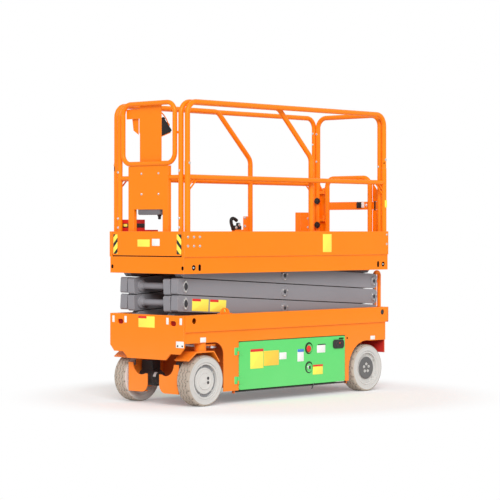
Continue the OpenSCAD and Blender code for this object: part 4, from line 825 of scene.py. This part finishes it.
# Controls
# Grey electrical box behind the front panel, with a cable gland below it. The platform's control
# box is black plastic: its sloping face has a joystick, a red stop button and a bent guard hoop,
# and a folded orange tray under it and a side plate hold it to the panel.
box_low, box_high = (1.140, -0.118, 1.432), (panel_front - 0.0062, 0.118, 1.600)
box_corner, box_edge = 0.012, 0.004
control_lo, control_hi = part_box("controller")
control_middle = (control_lo.y + control_hi.y) / 2
face_high = Vector((control_hi.x - 0.0373, 0, control_hi.z))
face_low = Vector((control_lo.x, 0, control_lo.z + 0.0494))
face_out = Vector((face_low.z - face_high.z, 0, face_high.x - face_low.x)).normalized()
gland_profile = [(0.0, 0.0), (0.016, 0.0), (0.016, 0.010), (0.011, 0.014), (0.011, 0.030), (0.007, 0.036),
                 (0.0, 0.036)]
gland_place, gland_aim = (1.160, 0.060, 1.434), (0, 0, -1)
stick_profile = [(0.0, -0.002), (0.024, -0.002), (0.024, 0.003), (0.018, 0.006), (0.020, 0.010),
                 (0.014, 0.014), (0.016, 0.018), (0.010, 0.023), (0.009, 0.030), (0.014, 0.036),
                 (0.015, 0.048), (0.010, 0.055), (0.0, 0.057)]
stick_share, stick_y = 0.30, control_middle - 0.012
stop_profile = [(0.0, 0.024), (0.010, 0.0235), (0.017, 0.020), (0.0195, 0.014), (0.012, 0.011),
                (0.011, -0.002), (0.0, -0.002)]
stop_share, stop_y = 0.58, control_middle + 0.034
hoop_centre, hoop_radius, hoop_rod, hoop_sides = Vector((1.2775, 0, 2.045)), 0.182, 0.0045, 12
hoop_from, hoop_to, hoop_steps, hoop_inset = math.radians(116), math.radians(166), 14, 0.006
tray_side, tray_thick = 0.003, 0.005
tray_high = Vector((control_hi.x, control_lo.y - tray_side, control_lo.z))
tray_low = Vector((1.0932, control_lo.y - tray_side, 2.0557))
side_plate_x, side_plate_thick = panel_front - 0.046, Vector((0.004, 0, 0))
side_plate = ((-0.2186, 2.172), (-0.1500, 2.172), (-0.1500, 2.043), (-0.2042, 2.076))
box_grey = coated("box_grey", (0.16, 0.15, 0.16), 0.5, tone=0.1, edge=0.3)

bm = bmesh.new()
slab(bm, box_low, box_high, 0, box_corner, box_edge)
piece("electrical_box", bm, "extension", "arm_grey", box_grey)

bm = bmesh.new()
lathe(bm, gland_profile, gland_place, gland_aim, 20)
stick_foot = face_high * (1 - stick_share) + face_low * stick_share + left * stick_y
lathe(bm, stick_profile, stick_foot, face_out, 28)
piece("control_stick", bm, "extension", "black_plastic", black_mould)

bm = bmesh.new()
stop_foot = face_high * (1 - stop_share) + face_low * stop_share + left * stop_y
lathe(bm, stop_profile, stop_foot, face_out, 32)
piece("control_stop", bm, "extension", "red_plastic", red_mould)

bm = bmesh.new()
for y in (control_lo.y + hoop_inset, control_hi.y - hoop_inset):
    hub = hoop_centre + left * y
    seat = Matrix.Translation(hub + spoke(hoop_from) * hoop_radius) @ Matrix.Rotation(-hoop_from, 4, "Y")
    ring = bmesh.ops.create_circle(bm, segments=hoop_sides, radius=hoop_rod, matrix=seat)["verts"]
    lines = list(dict.fromkeys(e for v in ring for e in v.link_edges))
    bmesh.ops.spin(bm, geom=ring + lines, cent=hub, axis=right, angle=hoop_to - hoop_from, steps=hoop_steps)
bmesh.ops.holes_fill(bm, edges=[e for e in bm.edges if e.is_boundary], sides=hoop_sides)
tray_slope = Vector((tray_low.z - tray_high.z, 0, tray_high.x - tray_low.x)).normalized()
tray_down = tray_slope * -tray_thick
cut_plate(bm, [tray_high, tray_low, tray_low + tray_down, tray_high + tray_down],
          left * (control_hi.y - control_lo.y + 2 * tray_side))
cut_plate(bm, [Vector((side_plate_x, y, z)) for y, z in side_plate], side_plate_thick)
piece("control_hoop", bm, "extension", "orange", orange_coat)


# Red box
# Plain red plastic box on the extension deck, with a black and yellow band round its upper step.
# The band is thin sheet, glued on.
red_lo, red_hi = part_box("red_box")
band_low, band_high = red_hi.z - 0.062, red_hi.z - 0.030
band_inset, band_side, band_corner = 0.004, 0.096, 0.003
stripe_y = ((red_lo.y + 0.020, red_lo.y + 0.062), (red_lo.y + 0.088, red_lo.y + 0.130))
stripe_low, stripe_high = band_low + 0.008, band_high - 0.004
dress(red_mould, "red_box")

bm = bmesh.new()
slab(bm, (red_hi.x - glue, red_lo.y + band_inset, band_low),
     (red_hi.x + sheet, red_hi.y - band_inset, band_high), 0, band_corner)
slab(bm, (red_hi.x - band_side, red_hi.y - glue, band_low),
     (red_hi.x - band_inset, red_hi.y + sheet, band_high), 1, band_corner)
piece("red_box_band", bm, "extension", "black_paint", black_sheet)

bm = bmesh.new()
for lo, hi in stripe_y:
    slab(bm, (red_hi.x + sheet - glue, lo, stripe_low),
         (red_hi.x + 2 * sheet, hi, stripe_high), 0, band_corner)
piece("red_box_stripe", bm, "extension", "orange", yellow)


# Deck lever
# Locking lever of the extension: a bent black hand grip on a black catch with steel pins, on a
# folded orange bracket. A bolted plate beside it holds the foot of the right rear post.
lever_lo, lever_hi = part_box("deck_lever")
lever_y, lever_foot = (lever_lo.y + lever_hi.y) / 2, lever_lo.z - glue
bracket_x, bracket_top, bracket_half = (-0.190, -0.045), 1.322, 0.022
bracket_corner, bracket_edge = 0.010, 0.003
catch_x, catch_z, catch_half = (-0.126, -0.030), (bracket_top - 0.006, bracket_top + 0.034), 0.014
tongue_x, tongue_z, tongue_half = (-0.118, -0.084), (bracket_top + 0.020, bracket_top + 0.056), 0.010
catch_corner, tongue_corner, catch_edge = 0.012, 0.010, 0.002
foot_x, foot_y, foot_top, foot_corner, foot_edge = (-0.252, -0.179), (-0.336, -0.326), 1.431, 0.008, 0.002
grip_rod, grip_steps = 0.014, 14
grip_line = [Vector((x, lever_y, z)) for x, z in
             ((-0.042, 1.330), (0.008, 1.398), (-0.020, 1.440), (-0.084, 1.394))]
lever_pin, lever_pin_y = 0.009, lever_y + 0.0135
lever_pin_places = ((-0.100, bracket_top + 0.038), (-0.062, bracket_top + 0.016))
foot_bolt, foot_bolt_x, foot_bolt_y, foot_bolt_z = 0.008, -0.191, -0.3265, (1.420, 1.350)


def rod(bm, points, radius, sides=12):
    """Round rod along points, closed at both ends."""
    rings = []
    for step, point in enumerate(points):
        ahead = points[min(step + 1, len(points) - 1)] - points[max(step - 1, 0)]
        turn = Vector((0, 0, 1)).rotation_difference(ahead).to_matrix().to_4x4()
        place = Matrix.Translation(point) @ turn
        ring = bmesh.ops.create_circle(bm, segments=sides, radius=radius, matrix=place)["verts"]
        rings.append(list(dict.fromkeys(e for v in ring for e in v.link_edges)))
    for near, far in zip(rings, rings[1:]):
        bmesh.ops.bridge_loops(bm, edges=near + far)
    bmesh.ops.holes_fill(bm, edges=rings[0] + rings[-1], sides=sides)


bm = bmesh.new()
rod(bm, interpolate_bezier(*grip_line, grip_steps), grip_rod)
for x, z, half, corner in ((catch_x, catch_z, catch_half, catch_corner),
                           (tongue_x, tongue_z, tongue_half, tongue_corner)):
    slab(bm, (x[0], lever_y - half, z[0]), (x[1], lever_y + half, z[1]), 1, corner, catch_edge)
piece("lever_grip", bm, "extension", "black_plastic", black_mould, replaces=("deck_lever",))

bm = bmesh.new()
slab(bm, (bracket_x[0], lever_y - bracket_half, lever_foot),
     (bracket_x[1], lever_y + bracket_half, bracket_top), 1, bracket_corner, bracket_edge)
slab(bm, (foot_x[0], foot_y[0], lever_foot), (foot_x[1], foot_y[1], foot_top), 1, foot_corner, foot_edge)
piece("lever_bracket", bm, "extension", "orange", orange_coat)

bm = bmesh.new()
for x, z in lever_pin_places:
    bolt(bm, (x, lever_pin_y, z), left, lever_pin)
for z in foot_bolt_z:
    bolt(bm, (foot_bolt_x, foot_bolt_y, z), left, foot_bolt)
piece("lever_pins", bm, "extension", "steel", zinc)


# Gate and rear rail fittings
# Black and white latch on the gate's flat bar, with a dark strap at its end, two black star knobs
# that lock the rear rail, and the sheet that closes the near corner above and below the latch.
bar_face = -1.112
latch_y, latch_z, latch_thick, latch_corner = (0.103, 0.150), (1.503, 1.553), 0.012, 0.006
plate_y, plate_z, plate_thick, latch_edge = (0.151, 0.179), (1.505, 1.551), 0.008, 0.002
latch_bolt, latch_bolt_y, latch_bolt_z = 0.008, 0.201, 1.527
strap_low, strap_high, strap_corner = (-1.139, 0.264, 1.482), (-1.136, 0.279, 1.560), 0.004
knob_x, knob_y, knob_z = -1.1165, -0.322, (1.566, 1.362)
knob_radius, knob_lobes, lobe_share, lobe_steps = 0.025, 8, 0.11, 8
knob_stem_profile = [(0.0, -0.001), (0.009, -0.001), (0.009, 0.021), (0.0, 0.021)]
knob_cap_profile = [(0.0, 0.043), (0.008, 0.043), (0.011, 0.039), (0.011, 0.037), (0.0, 0.037)]
knob_seat, knob_thick = 0.020, 0.018
corner_back, corner_sheet = -1.144, Vector((0.0045, 0, 0))
corner_in, corner_out, corner_notch = 0.246, 0.339, 0.060
corner_low, latch_low, latch_high, corner_high = 1.3079, 1.488, 1.556, 1.7119

bm = bmesh.new()
slab(bm, (bar_face - glue, latch_y[0], latch_z[0]), (bar_face + latch_thick, latch_y[1], latch_z[1]), 0,
     latch_corner, latch_edge)
piece("gate_latch", bm, "gate", "black_plastic", black_mould)

bm = bmesh.new()
slab(bm, (bar_face - glue, plate_y[0], plate_z[0]), (bar_face + plate_thick, plate_y[1], plate_z[1]), 0,
     plate_corner, latch_edge)
bolt(bm, (bar_face, latch_bolt_y, latch_bolt_z), forward, latch_bolt)
piece("gate_latch_plate", bm, "gate", "rim", white)

bm = bmesh.new()
for z in knob_z:
    seat = Vector((knob_x, knob_y, z))
    lathe(bm, knob_stem_profile, seat, forward, 20)
    outline = []
    for step in range(knob_lobes * lobe_steps):
        turn = math.tau * step / (knob_lobes * lobe_steps)
        reach = knob_radius * (1 + lobe_share * math.cos(knob_lobes * turn))
        outline.append(seat + Vector((knob_seat, reach * math.cos(turn), reach * math.sin(turn))))
    cut_plate(bm, outline, forward * knob_thick)
    lathe(bm, knob_cap_profile, seat, forward, 20)
piece("rear_rail_knobs", bm, "platform", "black_plastic", black_mould)

bm = bmesh.new()
lower_sheet = [(corner_in, corner_low), (corner_out, corner_low), (corner_out, latch_low),
               (corner_in, latch_low)]
upper_sheet = [(corner_in, latch_high), (corner_out, latch_high), (corner_out, corner_high),
               ((corner_in + corner_out) / 2, corner_high - corner_notch), (corner_in, corner_high)]
for outline in (lower_sheet, upper_sheet):
    cut_plate(bm, [Vector((corner_back, y, z)) for y, z in outline], corner_sheet)
piece("near_corner_sheet", bm, "platform", "orange", orange_coat)

bm = bmesh.new()
slab(bm, strap_low, strap_high, 0, strap_corner)
piece("latch_strap", bm, "platform", "black_plastic", black_mould)


# Post fittings
# Bolts of the document box and of the rear posts, black inlays painted as the shade in a hole and
# a slot of the posts, round braces under the ends of the middle rails, and a blank yellow plate on
# the near rear post.
rail_y, mid_rail_z = (rail_lo.y + rail_hi.y) / 2, 1.7119
brace_rod, brace_run, brace_drop, brace_seat = 0.006, 0.125, 0.100, 0.016
brace_profile = [(0.0, 0.0), (brace_rod, 0.0), (brace_rod, brace_run), (0.0, brace_run)]
box_face, box_bolt, box_bolt_x, box_bolt_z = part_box("document_box")[1].y, 0.007, -0.986, (1.418, 1.342)
rear_bolt, rear_bolt_x = 0.0065, -1.0985
rear_bolt_places = ((-0.383, 2.142), (-0.339, 2.137), (-0.383, 2.049), (-0.339, 1.903), (-0.383, 1.805),
                    (0.339, 1.843))
post_hole_profile = [(0.0, 0.0008), (0.006, 0.0008), (0.0065, -0.002), (0.0, -0.002)]
post_hole_place, post_hole_aim = (-1.1042, 0.3970, 1.873), Vector((1, 1, 0)).normalized()
post_slot_low, post_slot_high, post_slot_corner = (1.2066, -0.3870, 1.768), (1.2084, -0.3790, 1.806), 0.0035
post_plate_face, post_plate_area = rail_hi.y - 0.001, (-1.132, -1.104, 1.505, 1.566)

bm = bmesh.new()
for z in box_bolt_z:
    bolt(bm, (box_bolt_x, box_face, z), left, box_bolt)
for y, z in rear_bolt_places:
    bolt(bm, (rear_bolt_x, y, z), forward, rear_bolt)
piece("post_bolts", bm, "platform", "steel", zinc)

bm = bmesh.new()
lathe(bm, post_hole_profile, post_hole_place, post_hole_aim, 18)
slab(bm, post_slot_low, post_slot_high, 0, post_slot_corner)
piece("post_hole_shades", bm, "platform", "black_paint", hole_shade_black)

bm = bmesh.new()
for y in (rail_y, -rail_y):
    for x, lean in ((front_post_x, -1), (rear_post_x, 1)):
        run = Vector((lean, 0, 1)).normalized()
        lathe(bm, brace_profile, (x + lean * brace_seat, y, mid_rail_z - brace_drop), run, 14)
piece("rail_braces", bm, "platform", "orange", orange_coat)
stick_on("post_plate", "platform", "orange", yellow, (left, post_plate_face), [post_plate_area])


# Picture
# The picture keeps plain tones.
scene.view_settings.view_transform = "Standard"
